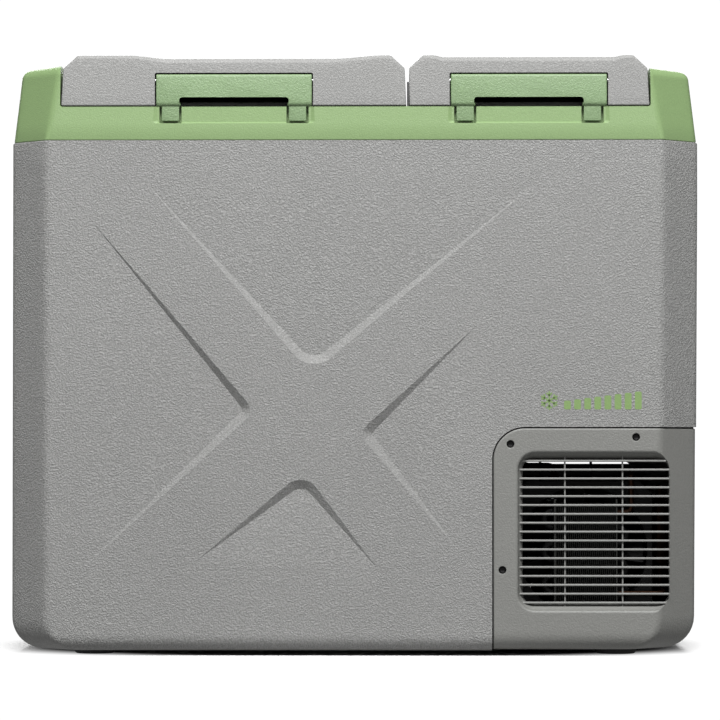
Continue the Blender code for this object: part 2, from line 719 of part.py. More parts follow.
def make_grille(name, grille, y_low, y_high, levels, ribs, rib_y, mat):
    """Thin level slats held by upright ribs behind them."""
    x_low, x_high = grille["x"][0] + GAP, grille["x"][1] - GAP
    z_low, z_high = grille["z"][0] + GAP, grille["z"][1] - GAP
    rib_half = 0.6
    first, *others = ribs
    frame = box(name, (first - rib_half, first + rib_half), rib_y, (z_low, z_high), mat)
    for i, x in enumerate(others):
        edge = inset_at(grille, x, GAP)
        join(frame, box(f"{name}_rib_{i}", (x - rib_half, x + rib_half), rib_y,
                        (z_low + edge, z_high - edge)))
    for i, z in enumerate(levels):
        edge = max(corner_inset(grille, z - SLAT_THICK / 2), corner_inset(grille, z + SLAT_THICK / 2))
        join(frame, box(f"{name}_slat_{i}", (x_low + edge, x_high - edge), (y_low, y_high),
                        (z - SLAT_THICK / 2, z + SLAT_THICK / 2)))
    return frame


def corner_inset(grille, z):
    """How far the opening's round corner draws its ends in at a height."""
    low, high = grille["z"]
    return tuck(min(z - low, high - z), grille["corner"])


def inset_at(grille, x, slack):
    """How far the opening's round corner draws its top and bottom in at a place along it."""
    low, high = grille["x"]
    return tuck(min(x - low, high - x) - slack, grille["corner"])


def make_grilles(mat):
    front = FRONT + GRILLE_SETBACK
    levels = [SLAT_LOW + SLAT_PITCH * i for i in range(SLATS)]
    make_grille("front_grille", GRILLE, front, front + SLAT_DEPTH, levels, RIBS,
                (front + SLAT_DEPTH - 0.8, front + SLAT_DEPTH + 3.0), mat)
    back = -FRONT - 3.0
    levels = [REAR_GRILLE["z"][0] + 8 + 10.4 * i for i in range(11)]
    make_grille("rear_grille", REAR_GRILLE, back - SLAT_DEPTH, back, levels, (168.0, 196.0, 224.0),
                (back - SLAT_DEPTH - 3.0, back - SLAT_DEPTH + 0.8), mat)


def make_cover_screw(number, x, z, mat):
    """A countersunk screw, its head below the cover's face."""
    y = FRONT + 0.5
    profile = [(2.3, y), (2.7, y + 0.3), (2.7, y + 0.8), (1.4, y + 0.8), (1.4, y + 12.0)]
    profile.append((0.6, y + 14.0))
    return shade(turned(f"cover_screw_{number}", "Y", (x, z), profile, mat, 12))


def make_bay(mats):
    """The bay's lining, base tray and everything of the cooling circuit that is in it."""
    floor = BODY_BASE + 1.2
    lining = [(114.8, 0.0), (116.8, 0.0), (116.8, BAY_TOP + 1.1), (400.0, BAY_TOP + 1.1)]
    lining += [(400.0, BAY_TOP + 3.1), (114.8, BAY_TOP + 3.1)]
    bay_wall = prism("bay_wall", "Y", lining, -250.0, 250.0, mats["painted_steel"])
    keep(bay_wall, loft("bay_wall_region", body_rings(300.0, WALL + GAP)))

    tray_outline = chamfered(264.4, 168.9, FACET, EDGE_RADIUS)
    tray = prism("compressor_tray", "Z", tray_outline, floor, floor + 1.5, mats["painted_steel"])
    keep(tray, box("tray_region", (BAY_X + 1.0, 400), (-250, 250), (-20, 40)))

    top = floor + 1.5
    spots = ((168.0, 22.0), (256.0, 22.0), (212.0, 118.0))
    for i, spot in enumerate(spots):
        profile = [(8.0, top + GAP), (8.0, top + 3.0), (5.5, top + 4.5), (5.5, top + 6.0)]
        profile += [(8.0, top + 7.5), (8.0, top + 10.0)]
        shade(turned(f"grommet_{i + 1}", "Z", spot, profile, mats["rubber"], 12))
    plate_z = top + 10.0 + GAP
    compressor = box("compressor", (156, 268), (12, 128), (plate_z, plate_z + 2.5), mats["black_metal"])
    x, y = 212.0, 70.0

    def can_ring(scale, z):
        points = []
        for i in range(24):
            t = 2 * math.pi * i / 24
            c, s = math.cos(t), math.sin(t)
            reach = scale / (abs(c) ** 2.6 + abs(s) ** 2.6) ** (1 / 2.6)
            points.append((x + 54 * reach * c, y + 50 * reach * s, z))
        return points

    shape = ((0.6, 0.5), (0.86, 6), (0.97, 18), (1, 34), (1, 58), (1.05, 60), (1.05, 63), (1, 65))
    shape += ((0.99, 84), (0.92, 100), (0.75, 111), (0.45, 117))
    join(compressor, loft("compressor_can", [can_ring(s, plate_z + z) for s, z in shape]))
    shade(compressor)

    core_x, core_y, core_z = (171.0, 225.0), (-158.0, -122.0), (44.0, 130.0)
    plate = 1.2
    rings = []
    for px, grow in ((core_x[0], 3.0), (core_x[0] + plate, 3.0), (core_x[0] + plate, 0.0),
                     (core_x[1] - plate, 0.0), (core_x[1] - plate, 3.0), (core_x[1], 3.0)):
        rect = rectangle(core_y[0] - grow, core_y[1] + grow, core_z[0] - grow, core_z[1] + grow)
        rings.append(place("X", rect, px))
    loft("condenser", rings, mats["dark_metal"])

    make_fan(mats)

    body = box("driver_module", (119.5, 140.0), (60.0, 150.0), (40.0, 118.0), mats["black_plastic"])
    bevel(body, 2.0)
    drier = [(3.2, 60.0), (3.2, 70.0), (8.0, 76.0), (8.0, 128.0), (3.2, 134.0), (3.2, 144.0)]
    shade(turned("filter_drier", "Z", (268.0, -60.0), drier, mats["copper"], 16))
    discharge = bend_path([(238, 16, 100), (238, 3.0, 100), (238, 3.0, 156), (238, -140, 156),
                           (238, -140, 122), (226.0, -140, 122)], 5.0)
    tube("discharge_tube", discharge, 2.6, mats["copper"])
    liquid = bend_path([(226.0, -140, 52), (268, -140, 52), (268, -60, 52), (268, -60, 59.5)], 5.0)
    tube("liquid_tube", liquid, 2.4, mats["copper"])
    suction = bend_path([(180, 70, 137.5), (180, 70, 160), (150, 70, 160), (150, 70, 193.0)], 6.0)
    tube("suction_tube", suction, 3.6, mats["copper"])


def make_fan(mats):
    """An axial fan behind the condenser: square frame, struts and a seven-blade rotor."""
    x, z = FAN_CENTRE
    square = []
    for i in range(32):
        t = 2 * math.pi * (i + 0.5) / 32
        c, s = math.cos(t), math.sin(t)
        reach = min(60.0 / max(abs(c), abs(s)), 78.0)
        square.append((x + reach * c, z + reach * s))
    bore = [(x + 56.0 * math.cos(2 * math.pi * (i + 0.5) / 32),
             z + 56.0 * math.sin(2 * math.pi * (i + 0.5) / 32)) for i in range(32)]
    rings = [place("Y", square, FAN_Y[0]), place("Y", square, FAN_Y[1])]
    rings += [place("Y", bore, FAN_Y[1]), place("Y", bore, FAN_Y[0])]
    frame = loft("fan_frame", rings, mats["black_plastic"], loop=True)
    back = FAN_Y[1]
    join(frame, box("fan_strut_0", (x - 58, x + 58), (back - 3.0, back - 0.5), (z - 2, z + 2)))
    join(frame, box("fan_strut_1", (x - 2, x + 2), (back - 3.2, back - 0.7), (z - 58, z + 58)))
    join(frame, prism("fan_seat", "Y", circle(x, z, 19, 20, 0.05), back - 3.6, back - 0.2))
    shade(frame)

    axis = pivot("fan_axis", (x, FAN_Y[0] + 10, z))
    hub = prism("fan_rotor", "Y", circle(x, z, 18.5, 28), FAN_Y[0] + 2.5, back - 4.4,
                mats["black_plastic"])
    blades = 7
    for i in range(blades):
        turn = 2 * math.pi * i / blades
        rings = []
        for radius, chord, pitch in ((16.0, 16.0, 52.0), (34.0, 21.0, 38.0), (53.5, 25.0, 28.0)):
            along, rise = math.cos(math.radians(pitch)), math.sin(math.radians(pitch))
            ring = []
            for u, v in ((-0.5, -0.7), (0.5, -0.7), (0.5, 0.7), (-0.5, 0.7)):
                side = u * chord * along - v * rise
                depth = u * chord * rise + v * along
                spin = turn + side / radius
                ring.append((x + radius * math.cos(spin), FAN_Y[0] + 11.0 + depth,
                             z + radius * math.sin(spin)))
            rings.append(ring)
        join(hub, loft(f"blade_{i}", rings))
    shade(attach(hub, axis))


# ---- handles, control panel, feet ----
def make_handle(name, side, mats):
    """A fold-out bail in an end pocket, hanging on a steel pin."""
    x = side * HANDLE_AXIS_X
    half = HANDLE_HALF_Y - 2.0
    drop, thick = HANDLE_AXIS_Z - HANDLE_Z[0] - 2.5, 5.5
    top = HANDLE_AXIS_Z + 5.5
    outline = [(-half, top - 3), (-half, HANDLE_AXIS_Z - drop + 8), (-half + 8, HANDLE_AXIS_Z - drop),
               (half - 8, HANDLE_AXIS_Z - drop), (half, HANDLE_AXIS_Z - drop + 8), (half, top - 3),
               (half - 3, top), (half - 11, top), (half - 12, HANDLE_AXIS_Z - drop + 19),
               (half - 17, HANDLE_AXIS_Z - drop + HANDLE_GRIP + 1),
               (-half + 17, HANDLE_AXIS_Z - drop + HANDLE_GRIP + 1),
               (-half + 12, HANDLE_AXIS_Z - drop + 19), (-half + 11, top), (-half + 3, top)]
    bail = prism(name, "X", outline, x - thick, x + thick, mats["trim_green"])
    bevel(bail, 1.6)
    cut(bail, prism(f"{name}_bore", "Y", circle(x, HANDLE_AXIS_Z, 2.8, 12), -80, 80))
    axis = pivot(f"{name}_axis", (x, 0.0, HANDLE_AXIS_Z))
    attach(bail, axis)
    reach = HANDLE_HALF_Y + 2.0
    shade(prism(f"{name}_pin", "Y", circle(x, HANDLE_AXIS_Z, 2.5, 12), -reach, reach, mats["steel"]))


def make_panel(mats):
    """The control panel: bezel, display window, four buttons and the board behind them."""
    face = WIDTH / 2 - 1.2
    y, z = (PANEL_Y[0] + GAP, PANEL_Y[1] - GAP), (PANEL_Z[0] + GAP, PANEL_Z[1] - GAP)
    outline = rounded(rectangle(*y, *z), 0.5)
    bezel = prism("panel_bezel", "X", outline, face - 11.0, face, mats["black_plastic"])
    inner = rectangle(y[0] + 2, y[1] - 2, z[0] + 2, z[1] - 2)
    cut(bezel, prism("bezel_inside", "X", inner, face - 20.0, face - 2.5))
    mid_z = (PANEL_Z[0] + PANEL_Z[1]) / 2
    cut(bezel, box("bezel_window", (face - 20, face + 5), (-20.3, 20.3), (mid_z - 12.3, mid_z + 12.3)))
    window = box("display_window", (face - 2.4, face - 0.3), (-20, 20), (mid_z - 12, mid_z + 12),
                 mats["dark_glass"])
    bevel(window, 0.4)
    board_front = face - 7.4
    box("panel_board", (board_front - 1.6, board_front), (y[0] + 2.4, y[1] - 2.4),
        (z[0] + 2.4, z[1] - 2.4), mats["board_green"])
    for name, place_y in zip(("power", "set", "down", "up"), BUTTON_Y):
        spot = (place_y, mid_z)
        cut(bezel, prism(f"{name}_hole", "X", circle(*spot, BUTTON_RADIUS + 0.35, 20),
                         face - 20, face + 5))
        profile = [(BUTTON_RADIUS + 1.6, face - 4.4), (BUTTON_RADIUS + 1.6, face - 2.5 - GAP)]
        profile += [(BUTTON_RADIUS, face - 2.5 - GAP), (BUTTON_RADIUS, face + 0.6)]
        profile += [(BUTTON_RADIUS - 0.8, face + 1.0)]
        stem = [(2.0, board_front + BUTTON_TRAVEL + GAP)]
        stem += [(2.0, face - 4.4)]
        button = turned(f"button_{name}", "X", spot, stem + profile, mats["grey_rubber"], 20)
        attach(button, pivot(f"button_{name}_slide", (face - 1.0, *spot)))
        shade(button)
    return bezel


def make_feet(mat):
    """Four low rubber feet."""
    for i, (x, y) in enumerate(((-225, -130), (-225, 130), (225, -130), (225, 130))):
        top = BODY_BASE - GAP if x < 0 else BODY_BASE + 1.2 - GAP
        profile = [(15.0, 0.0), (17.0, 1.6), (18.0, top)]
        shade(turned(f"foot_{i + 1}", "Z", (x, y), profile, mat, 24))


def build():
    for obj in list(bpy.data.objects):
        bpy.data.objects.remove(obj)
    mats = {
        "shell_grey": finish("shell_grey", (0.34, 0.34, 0.33), 0.6),
        "lid_grey": finish("lid_grey", (0.40, 0.40, 0.39), 0.6),
        "cover_grey": finish("cover_grey", (0.27, 0.27, 0.255), 0.55),
        "trim_green": finish("trim_green", (0.35, 0.49, 0.24), 0.5),
        "liner_white": finish("liner_white", (0.62, 0.63, 0.62), 0.4),
        "foam": finish("foam", (0.75, 0.68, 0.45), 0.9),
        "rubber": finish("rubber", (0.02, 0.02, 0.02), 0.8),
        "grey_rubber": finish("grey_rubber", (0.30, 0.30, 0.30), 0.7),
        "steel": finish("steel", (0.55, 0.55, 0.55), 0.35, 1.0),
        "black_metal": finish("black_metal", (0.02, 0.02, 0.02), 0.5, 0.3),
        "dark_metal": finish("dark_metal", (0.08, 0.08, 0.08), 0.5, 0.7),
        "painted_steel": finish("painted_steel", (0.12, 0.12, 0.12), 0.5, 0.3),
        "aluminium": finish("aluminium", (0.7, 0.7, 0.7), 0.4, 1.0),
        "copper": finish("copper", (0.70, 0.33, 0.18), 0.35, 1.0),
        "black_plastic": finish("black_plastic", (0.025, 0.025, 0.025), 0.5),
        "dark_glass": finish("dark_glass", (0.02, 0.02, 0.02), 0.1),
        "board_green": finish("board_green", (0.02, 0.14, 0.05), 0.6),
    }
    make_outer_shell(mats["shell_grey"])
    make_foam_body(mats["foam"])
    make_liner("liner_left", LEFT_ROOM, mats["liner_white"])
    make_liner("liner_right", RIGHT_ROOM, mats["liner_white"])
    make_evaporator("evaporator_left", LEFT_ROOM, 90.0, 330.0, mats["aluminium"])
    make_evaporator("evaporator_right", RIGHT_ROOM, 262.0, 420.0, mats["aluminium"])
    make_collar(mats["trim_green"])
    for side, lid, room in (("left", LEFT_LID, LEFT_ROOM), ("right", RIGHT_LID, RIGHT_ROOM)):
        hinge = make_lid(side, lid, room, mats)
        make_latch(side, lid, hinge, mats)
    make_compressor_cover(mats["cover_grey"])
    make_grilles(mats["cover_grey"])
    for number, (x, z) in enumerate(SCREWS, 1):
        make_cover_screw(number, x, z, mats["black_metal"])
    make_inlet("dc_inlet", DC_Y, 5.0, mats["black_plastic"])
    make_inlet("ac_inlet", AC_Y, 5.0, mats["black_plastic"])
    make_bay(mats)
    make_handle("handle_left", -1, mats)
    make_handle("handle_right", 1, mats)
    make_panel(mats)
    make_feet(mats["rubber"])


build()
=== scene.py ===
"""Looks of the dual-zone compressor cooler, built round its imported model.

Lengths are millimetres and MM turns them into metres where a mesh is made. X is the cooler's right, Y its
back, Z up. A piece is a grid of points worked out as whole arrays: rings carried along a path.
"""
import json
import math

import bpy
import numpy as np
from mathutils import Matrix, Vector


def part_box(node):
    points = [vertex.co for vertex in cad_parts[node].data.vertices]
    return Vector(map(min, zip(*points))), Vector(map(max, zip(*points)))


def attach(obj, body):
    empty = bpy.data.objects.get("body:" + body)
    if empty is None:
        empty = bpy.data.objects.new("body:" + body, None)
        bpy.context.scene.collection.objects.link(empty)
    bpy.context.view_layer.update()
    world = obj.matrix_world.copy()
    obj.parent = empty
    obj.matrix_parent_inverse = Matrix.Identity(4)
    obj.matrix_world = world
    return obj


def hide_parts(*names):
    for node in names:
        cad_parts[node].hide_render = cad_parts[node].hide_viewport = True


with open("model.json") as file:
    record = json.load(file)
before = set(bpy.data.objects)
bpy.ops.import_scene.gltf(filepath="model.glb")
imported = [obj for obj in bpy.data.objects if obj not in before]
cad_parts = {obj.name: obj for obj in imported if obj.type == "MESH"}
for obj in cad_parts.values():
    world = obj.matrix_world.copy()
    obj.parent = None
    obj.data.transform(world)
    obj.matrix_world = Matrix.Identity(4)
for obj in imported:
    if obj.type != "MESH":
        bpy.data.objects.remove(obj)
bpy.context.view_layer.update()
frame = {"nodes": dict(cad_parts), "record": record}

MM = 0.001


def span(node):
    """A CAD node's lowest and highest corner in millimetres."""
    low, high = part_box(node)
    return np.array(low) / MM, np.array(high) / MM


def centre_of(node):
    """The middle of a CAD node's box in millimetres."""
    low, high = span(node)
    return (low + high) / 2


# ---- sizes read from the frame, and the curvatures that the looks add ----
SHELL_LOW, SHELL_HIGH = span("outer_shell")
COLLAR_LOW, COLLAR_HIGH = span("collar")
COVER_LOW, COVER_HIGH = span("compressor_cover")
FRONT = SHELL_LOW[1]
HALF_X, HALF_Y = SHELL_HIGH[0], SHELL_HIGH[1]
BODY_BASE, BODY_TOP = SHELL_LOW[2], SHELL_HIGH[2]
END_RADIUS, FRONT_RADIUS = 27.5, 13.0
FACET, EDGE_RADIUS = 32.0, 11.0
# how far the right end stands in at the base, and the height where it starts to
LEAN, LEAN_TOP = 2.6, 390.0
WALL = 3.0
# the level of the collar's deck, and the quarter circle over which its cheeks' tops roll in
DECK = 468.8
CHEEK_ROLL = 8.5
CHEEK_TOP = COLLAR_HIGH[2]
CHEEK_SHOULDER = CHEEK_TOP - CHEEK_ROLL
LINER_HALF_Y = span("liner_left")[1][1] - 10.0
ROOM_X = {side: (span(f"liner_{side}")[0][0] + 10.0, span(f"liner_{side}")[1][0] - 10.0)
          for side in ("left", "right")}
ROOM_FLOOR = {side: span(f"liner_{side}")[0][2] + 2.0 for side in ("left", "right")}
LINER_TOP = span("liner_left")[1][2]
_, HINGE_Y, HINGE_Z = centre_of("hinge_pin_left").tolist()
BARREL = 8.0


# ---- outlines: arrays of points in a plane ----
def corner_arcs(corners, radii, arc):
    """For each corner of an outline, the points of an arc tangent to its two sides."""
    corners = np.asarray(corners, float)
    radii = np.broadcast_to(np.asarray(radii, float), len(corners))
    before = np.roll(corners, 1, axis=0) - corners
    after = np.roll(corners, -1, axis=0) - corners
    before /= np.linalg.norm(before, axis=1, keepdims=True)
    after /= np.linalg.norm(after, axis=1, keepdims=True)
    half = np.arccos(np.clip((before * after).sum(1), -1, 1)) / 2
    middle = before + after
    middle /= np.linalg.norm(middle, axis=1, keepdims=True)
    centres = corners + middle * (radii / np.sin(half))[:, None]
    starts = corners + before * (radii / np.tan(half))[:, None] - centres
    ends = corners + after * (radii / np.tan(half))[:, None] - centres
    sweep = np.arctan2(starts[:, 0] * ends[:, 1] - starts[:, 1] * ends[:, 0], (starts * ends).sum(1))
    turn = np.linspace(0, 1, arc + 1)[None, :] * sweep[:, None]
    c, s = np.cos(turn), np.sin(turn)
    x = centres[:, :1] + starts[:, :1] * c - starts[:, 1:] * s
    y = centres[:, 1:] + starts[:, :1] * s + starts[:, 1:] * c
    return np.stack((x, y), -1)


def between(a, b, shares):
    """Points on the straight way from a to b."""
    shares = np.asarray(shares, float)[:, None]
    return np.asarray(a) * (1 - shares) + np.asarray(b) * shares


def rounded(corners, radii, arc=6, runs=None):
    """A closed outline with round corners; runs gives the steps on the side that follows each corner."""
    arcs = corner_arcs(corners, radii, arc)
    if runs is None:
        return arcs.reshape(-1, 2)
    parts = []
    for i, run in enumerate(runs):
        following = arcs[(i + 1) % len(arcs), 0]
        parts += [arcs[i], between(arcs[i, -1], following, np.linspace(0, 1, run + 1)[1:-1])]
    return np.concatenate(parts)


def rectangle(a_low, a_high, b_low, b_high):
    """Four corners, anticlockwise."""
    return [(a_low, b_low), (a_high, b_low), (a_high, b_high), (a_low, b_high)]


def circle(a, b, radius, segments=32):
    """A round outline about a centre."""
    turn = np.linspace(0, 2 * math.pi, segments, endpoint=False)
    return np.stack((a + radius * np.cos(turn), b + radius * np.sin(turn)), -1)


def grown(outline, amount):
    """Every point of an anticlockwise outline moved outwards along its normal."""
    along = np.roll(outline, -1, axis=0) - np.roll(outline, 1, axis=0)
    along /= np.maximum(np.linalg.norm(along, axis=1, keepdims=True), 1e-9)
    return outline + np.stack((along[:, 1], -along[:, 0]), -1) * amount


def tuck(rise, radius):
    """How far a quarter-round edge is drawn in at a height above its start."""
    rise = np.clip(rise, 0.0, radius)
    return radius - np.sqrt(radius**2 - (radius - rise) ** 2)


def smooth(t):
    """An S-curve from 0 to 1."""
    t = np.clip(t, 0.0, 1.0)
    return t * t * (3 - 2 * t)


def place(axis, outline, level):
    """An outline put in space across an axis, at a level that may vary along it."""
    flat = np.broadcast_to(np.asarray(level, float), len(outline))
    a, b = outline[:, 0], outline[:, 1]
    order = {"X": (flat, a, b), "Y": (a, flat, b), "Z": (a, b, flat)}[axis]
    return np.stack(order, -1)


# ---- meshes ----
def settle(obj, degrees):
    """Smooth shading, with edges past an angle kept sharp."""
    obj.data.shade_smooth()
    obj.data.set_sharp_from_angle(angle=math.radians(degrees))
    return obj


def mesh_piece(name, points, faces, material, body, degrees=35.0):
    """An object of the points and faces, turned outwards by the sign of the volume that its faces enclose."""
    points = np.asarray(points, float) * MM
    fans = [(f[0], f[i], f[i + 1]) for f in faces for i in range(1, len(f) - 1)]
    corner = points[np.array(fans)]
    if (corner[:, 0] * np.cross(corner[:, 1], corner[:, 2])).sum() < 0:
        faces = [f[::-1] for f in faces]
    mesh = bpy.data.meshes.new(name)
    mesh.from_pydata(points.tolist(), [], faces)
    obj = bpy.data.objects.new(name, mesh)
    bpy.context.scene.collection.objects.link(obj)
    if material:
        mesh.materials.append(material)
    settle(obj, degrees)
    if body:
        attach(obj, body)
    return obj


def loft(name, rings, material=None, body=None, closed=False, degrees=35.0):
    """A closed skin through rings of equal length: quads between neighbours, and a face over each end."""
    rings = np.asarray(rings, float)
    rows, cols = rings.shape[:2]
    index = np.arange(rows * cols).reshape(rows, cols)
    near, far = (index, np.roll(index, -1, axis=0)) if closed else (index[:-1], index[1:])
    quads = np.stack((near, np.roll(near, -1, 1), np.roll(far, -1, 1), far), -1).reshape(-1, 4)
    faces = quads.tolist()
    if not closed:
        faces += [index[0].tolist()[::-1], index[-1].tolist()]
    return mesh_piece(name, rings.reshape(-1, 3), faces, material, body, degrees)


def prism(name, axis, outline, low, high, material=None, body=None):
    """An outline carried straight along an axis."""
    return loft(name, [place(axis, outline, low), place(axis, outline, high)], material, body)


def pillow(name, axis, outline, low, high, rim, material=None, body=None, steps=4, far_rim=None):
    """An outline carried along an axis; at each end it draws in by a quarter circle, so its rims are
    round."""
    far_rim = rim if far_rim is None else far_rim
    turn = np.linspace(0, math.pi / 2, steps + 1)
    rings = [place(axis, grown(outline, -rim * (1 - s)), low + rim * (1 - c))
             for s, c in zip(np.sin(turn), np.cos(turn))]
    rings += [place(axis, grown(outline, -far_rim * (1 - s)), high - far_rim * (1 - c))
              for s, c in zip(np.sin(turn[::-1]), np.cos(turn[::-1]))]
    return loft(name, rings, material, body)


def turned(name, axis, centre, profile, material=None, body=None, segments=48):
    """A profile of (radius, level) spun about an axis through a centre."""
    rings = [place(axis, circle(*centre, radius, segments), level) for radius, level in profile]
    return loft(name, rings, material, body)


def block(name, x, y, z, rim=0.0, material=None, body=None):
    """A box, with round rims if asked."""
    outline = rounded(rectangle(x[0], x[1], z[0], z[1]), max(rim, 0.02), 3 if rim else 1)
    if rim:
        return pillow(name, "Y", outline, y[0], y[1], rim, material, body, 3)
    return loft(name, [place("Y", outline, y[0]), place("Y", outline, y[1])], material, body)


def pipe(name, path, radius, material, body, segments=16):
    """Rings square to a path, carried along it without twisting."""
    path = np.asarray(path, float)
    ahead = np.gradient(path, axis=0)
    ahead /= np.linalg.norm(ahead, axis=1, keepdims=True)
    across = np.cross(ahead[0], (0.3, 0.5, 0.81))
    turn = np.linspace(0, 2 * math.pi, segments, endpoint=False)
    rings = []
    for point, way in zip(path, ahead):
        across = across - way * across.dot(way)
        across /= np.linalg.norm(across)
        beside = np.cross(way, across)
        rings.append(point + radius * (np.outer(np.cos(turn), across) + np.outer(np.sin(turn), beside)))
    return loft(name, rings, material, body)


def merged(name, parts, material, body, degrees=35.0):
    """Several finished pieces put into one object."""
    points, faces, offset = [], [], 0
    for part in parts:
        mesh = part.data
        co = np.empty(len(mesh.vertices) * 3)
        mesh.vertices.foreach_get("co", co)
        points.append(co.reshape(-1, 3))
        faces += [[v + offset for v in face.vertices] for face in mesh.polygons]
        offset += len(mesh.vertices)
        bpy.data.objects.remove(part)
    mesh = bpy.data.meshes.new(name)
    mesh.from_pydata(np.concatenate(points).tolist(), [], faces)
    obj = bpy.data.objects.new(name, mesh)
    bpy.context.scene.collection.objects.link(obj)
    mesh.materials.append(material)
    settle(obj, degrees)
    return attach(obj, body)


def carve(obj, away=(), add=(), degrees=35.0):
    """Join and cut other shapes exactly, keep the result as the mesh, and remove the tools."""
    for operation, tools in (("UNION", add), ("DIFFERENCE", away)):
        for tool in tools:
            step = obj.modifiers.new(tool.name, "BOOLEAN")
            step.operation, step.solver, step.object = operation, "EXACT", tool
    bpy.context.view_layer.update()
    mesh = bpy.data.meshes.new_from_object(obj.evaluated_get(bpy.context.evaluated_depsgraph_get()))
    obj.modifiers.clear()
    obj.data = mesh
    for tool in (*add, *away):
        bpy.data.objects.remove(tool)
    return settle(obj, degrees)


# ---- material parts shared by several finishes ----
def node(tree, kind, inputs=(), **settings):
    """A shader node with its settings, and with values on those of its inputs that nothing feeds."""
    made = tree.nodes.new(f"ShaderNode{kind}")
    for name, value in settings.items():
        setattr(made, name, value)
    for name, value in dict(inputs).items():
        made.inputs[name].default_value = value
    return made


def wire(tree, *links):
    """Links, each as (node, output, node, input)."""
    for source, output, target, entry in links:
        tree.links.new(source.outputs[output], target.inputs[entry])


def material_tree(name):
    """A new material, its node tree and its Principled shader."""
    mat = bpy.data.materials.new(name)
    mat.use_nodes = True
    return mat, mat.node_tree, mat.node_tree.nodes["Principled BSDF"]


def node_group(name, inputs, outputs):
    """An empty group with named float inputs and named outputs."""
    group = bpy.data.node_groups.new(name, "ShaderNodeTree")
    for label, default in inputs:
        socket = group.interface.new_socket(label, in_out="INPUT", socket_type="NodeSocketFloat")
        socket.default_value = default
    for label, kind in outputs:
        group.interface.new_socket(label, in_out="OUTPUT", socket_type=kind)
    return group, group.nodes.new("NodeGroupInput"), group.nodes.new("NodeGroupOutput")


def grain_group():
    """Moulded grain: pebbles from warped noise, cut flat below and above, with fine tooth on top.

    It puts out the bumped normal, and a factor for painted light and shade that is higher on the pebbles' tops and
    lower between them.
    """
    group, given, out = node_group(
        "moulded_grain",
        (("Pebble Scale", 600.0), ("Pebble Height", 0.0001), ("Tooth Scale", 2500.0), ("Tooth", 0.3)),
        (("Normal", "NodeSocketVector"), ("Pebble Shade", "NodeSocketFloat")))
    where = node(group, "TexCoord")
    pebble = node(group, "TexNoise", {"Detail": 2.0, "Roughness": 0.55, "Distortion": 0.6})
    tooth = node(group, "TexNoise", {"Detail": 2.0})
    shape = node(group, "MapRange", {"From Min": 0.38, "From Max": 0.66})
    weight = node(group, "Math", operation="MULTIPLY_ADD")
    bump = node(group, "Bump", {"Strength": 1.0})
    wire(group, (where, "Object", pebble, "Vector"), (given, "Pebble Scale", pebble, "Scale"),
         (where, "Object", tooth, "Vector"), (given, "Tooth Scale", tooth, "Scale"),
         (pebble, "Fac", shape, "Value"), (tooth, "Fac", weight, 0), (given, "Tooth", weight, 1),
         (shape, "Result", weight, 2), (weight, "Value", bump, "Height"),
         (given, "Pebble Height", bump, "Distance"), (bump, "Normal", out, "Normal"),
         (shape, "Result", out, "Pebble Shade"))
    return group


def handling_group():
    """Uneven handling of a surface: a soft large-scale cloud and fine scuffs stretched along X.

    It puts out a cloud mask and a scuff mask.
    """
    group, given, out = node_group(
        "handling", (("Cloud Scale", 9.0), ("Scuff Scale", 240.0)),
        (("Cloud", "NodeSocketFloat"), ("Scuff", "NodeSocketFloat")))
    where = node(group, "TexCoord")
    cloud = node(group, "TexNoise", {"Detail": 3.0})
    stretch = node(group, "Mapping", {"Scale": (0.15, 1.0, 1.0)})
    scuff = node(group, "TexNoise", {"Detail": 4.0})
    rare = node(group, "MapRange", {"From Min": 0.62, "From Max": 0.78})
    wire(group, (where, "Object", cloud, "Vector"), (where, "Object", stretch, "Vector"),
         (stretch, "Vector", scuff, "Vector"), (given, "Cloud Scale", cloud, "Scale"),
         (given, "Scuff Scale", scuff, "Scale"), (scuff, "Fac", rare, "Value"), (cloud, "Fac", out, "Cloud"),
         (rare, "Result", out, "Scuff"))
    return group


GRAIN = grain_group()
HANDLING = handling_group()
ROUGHNESS_SWING = 0.06


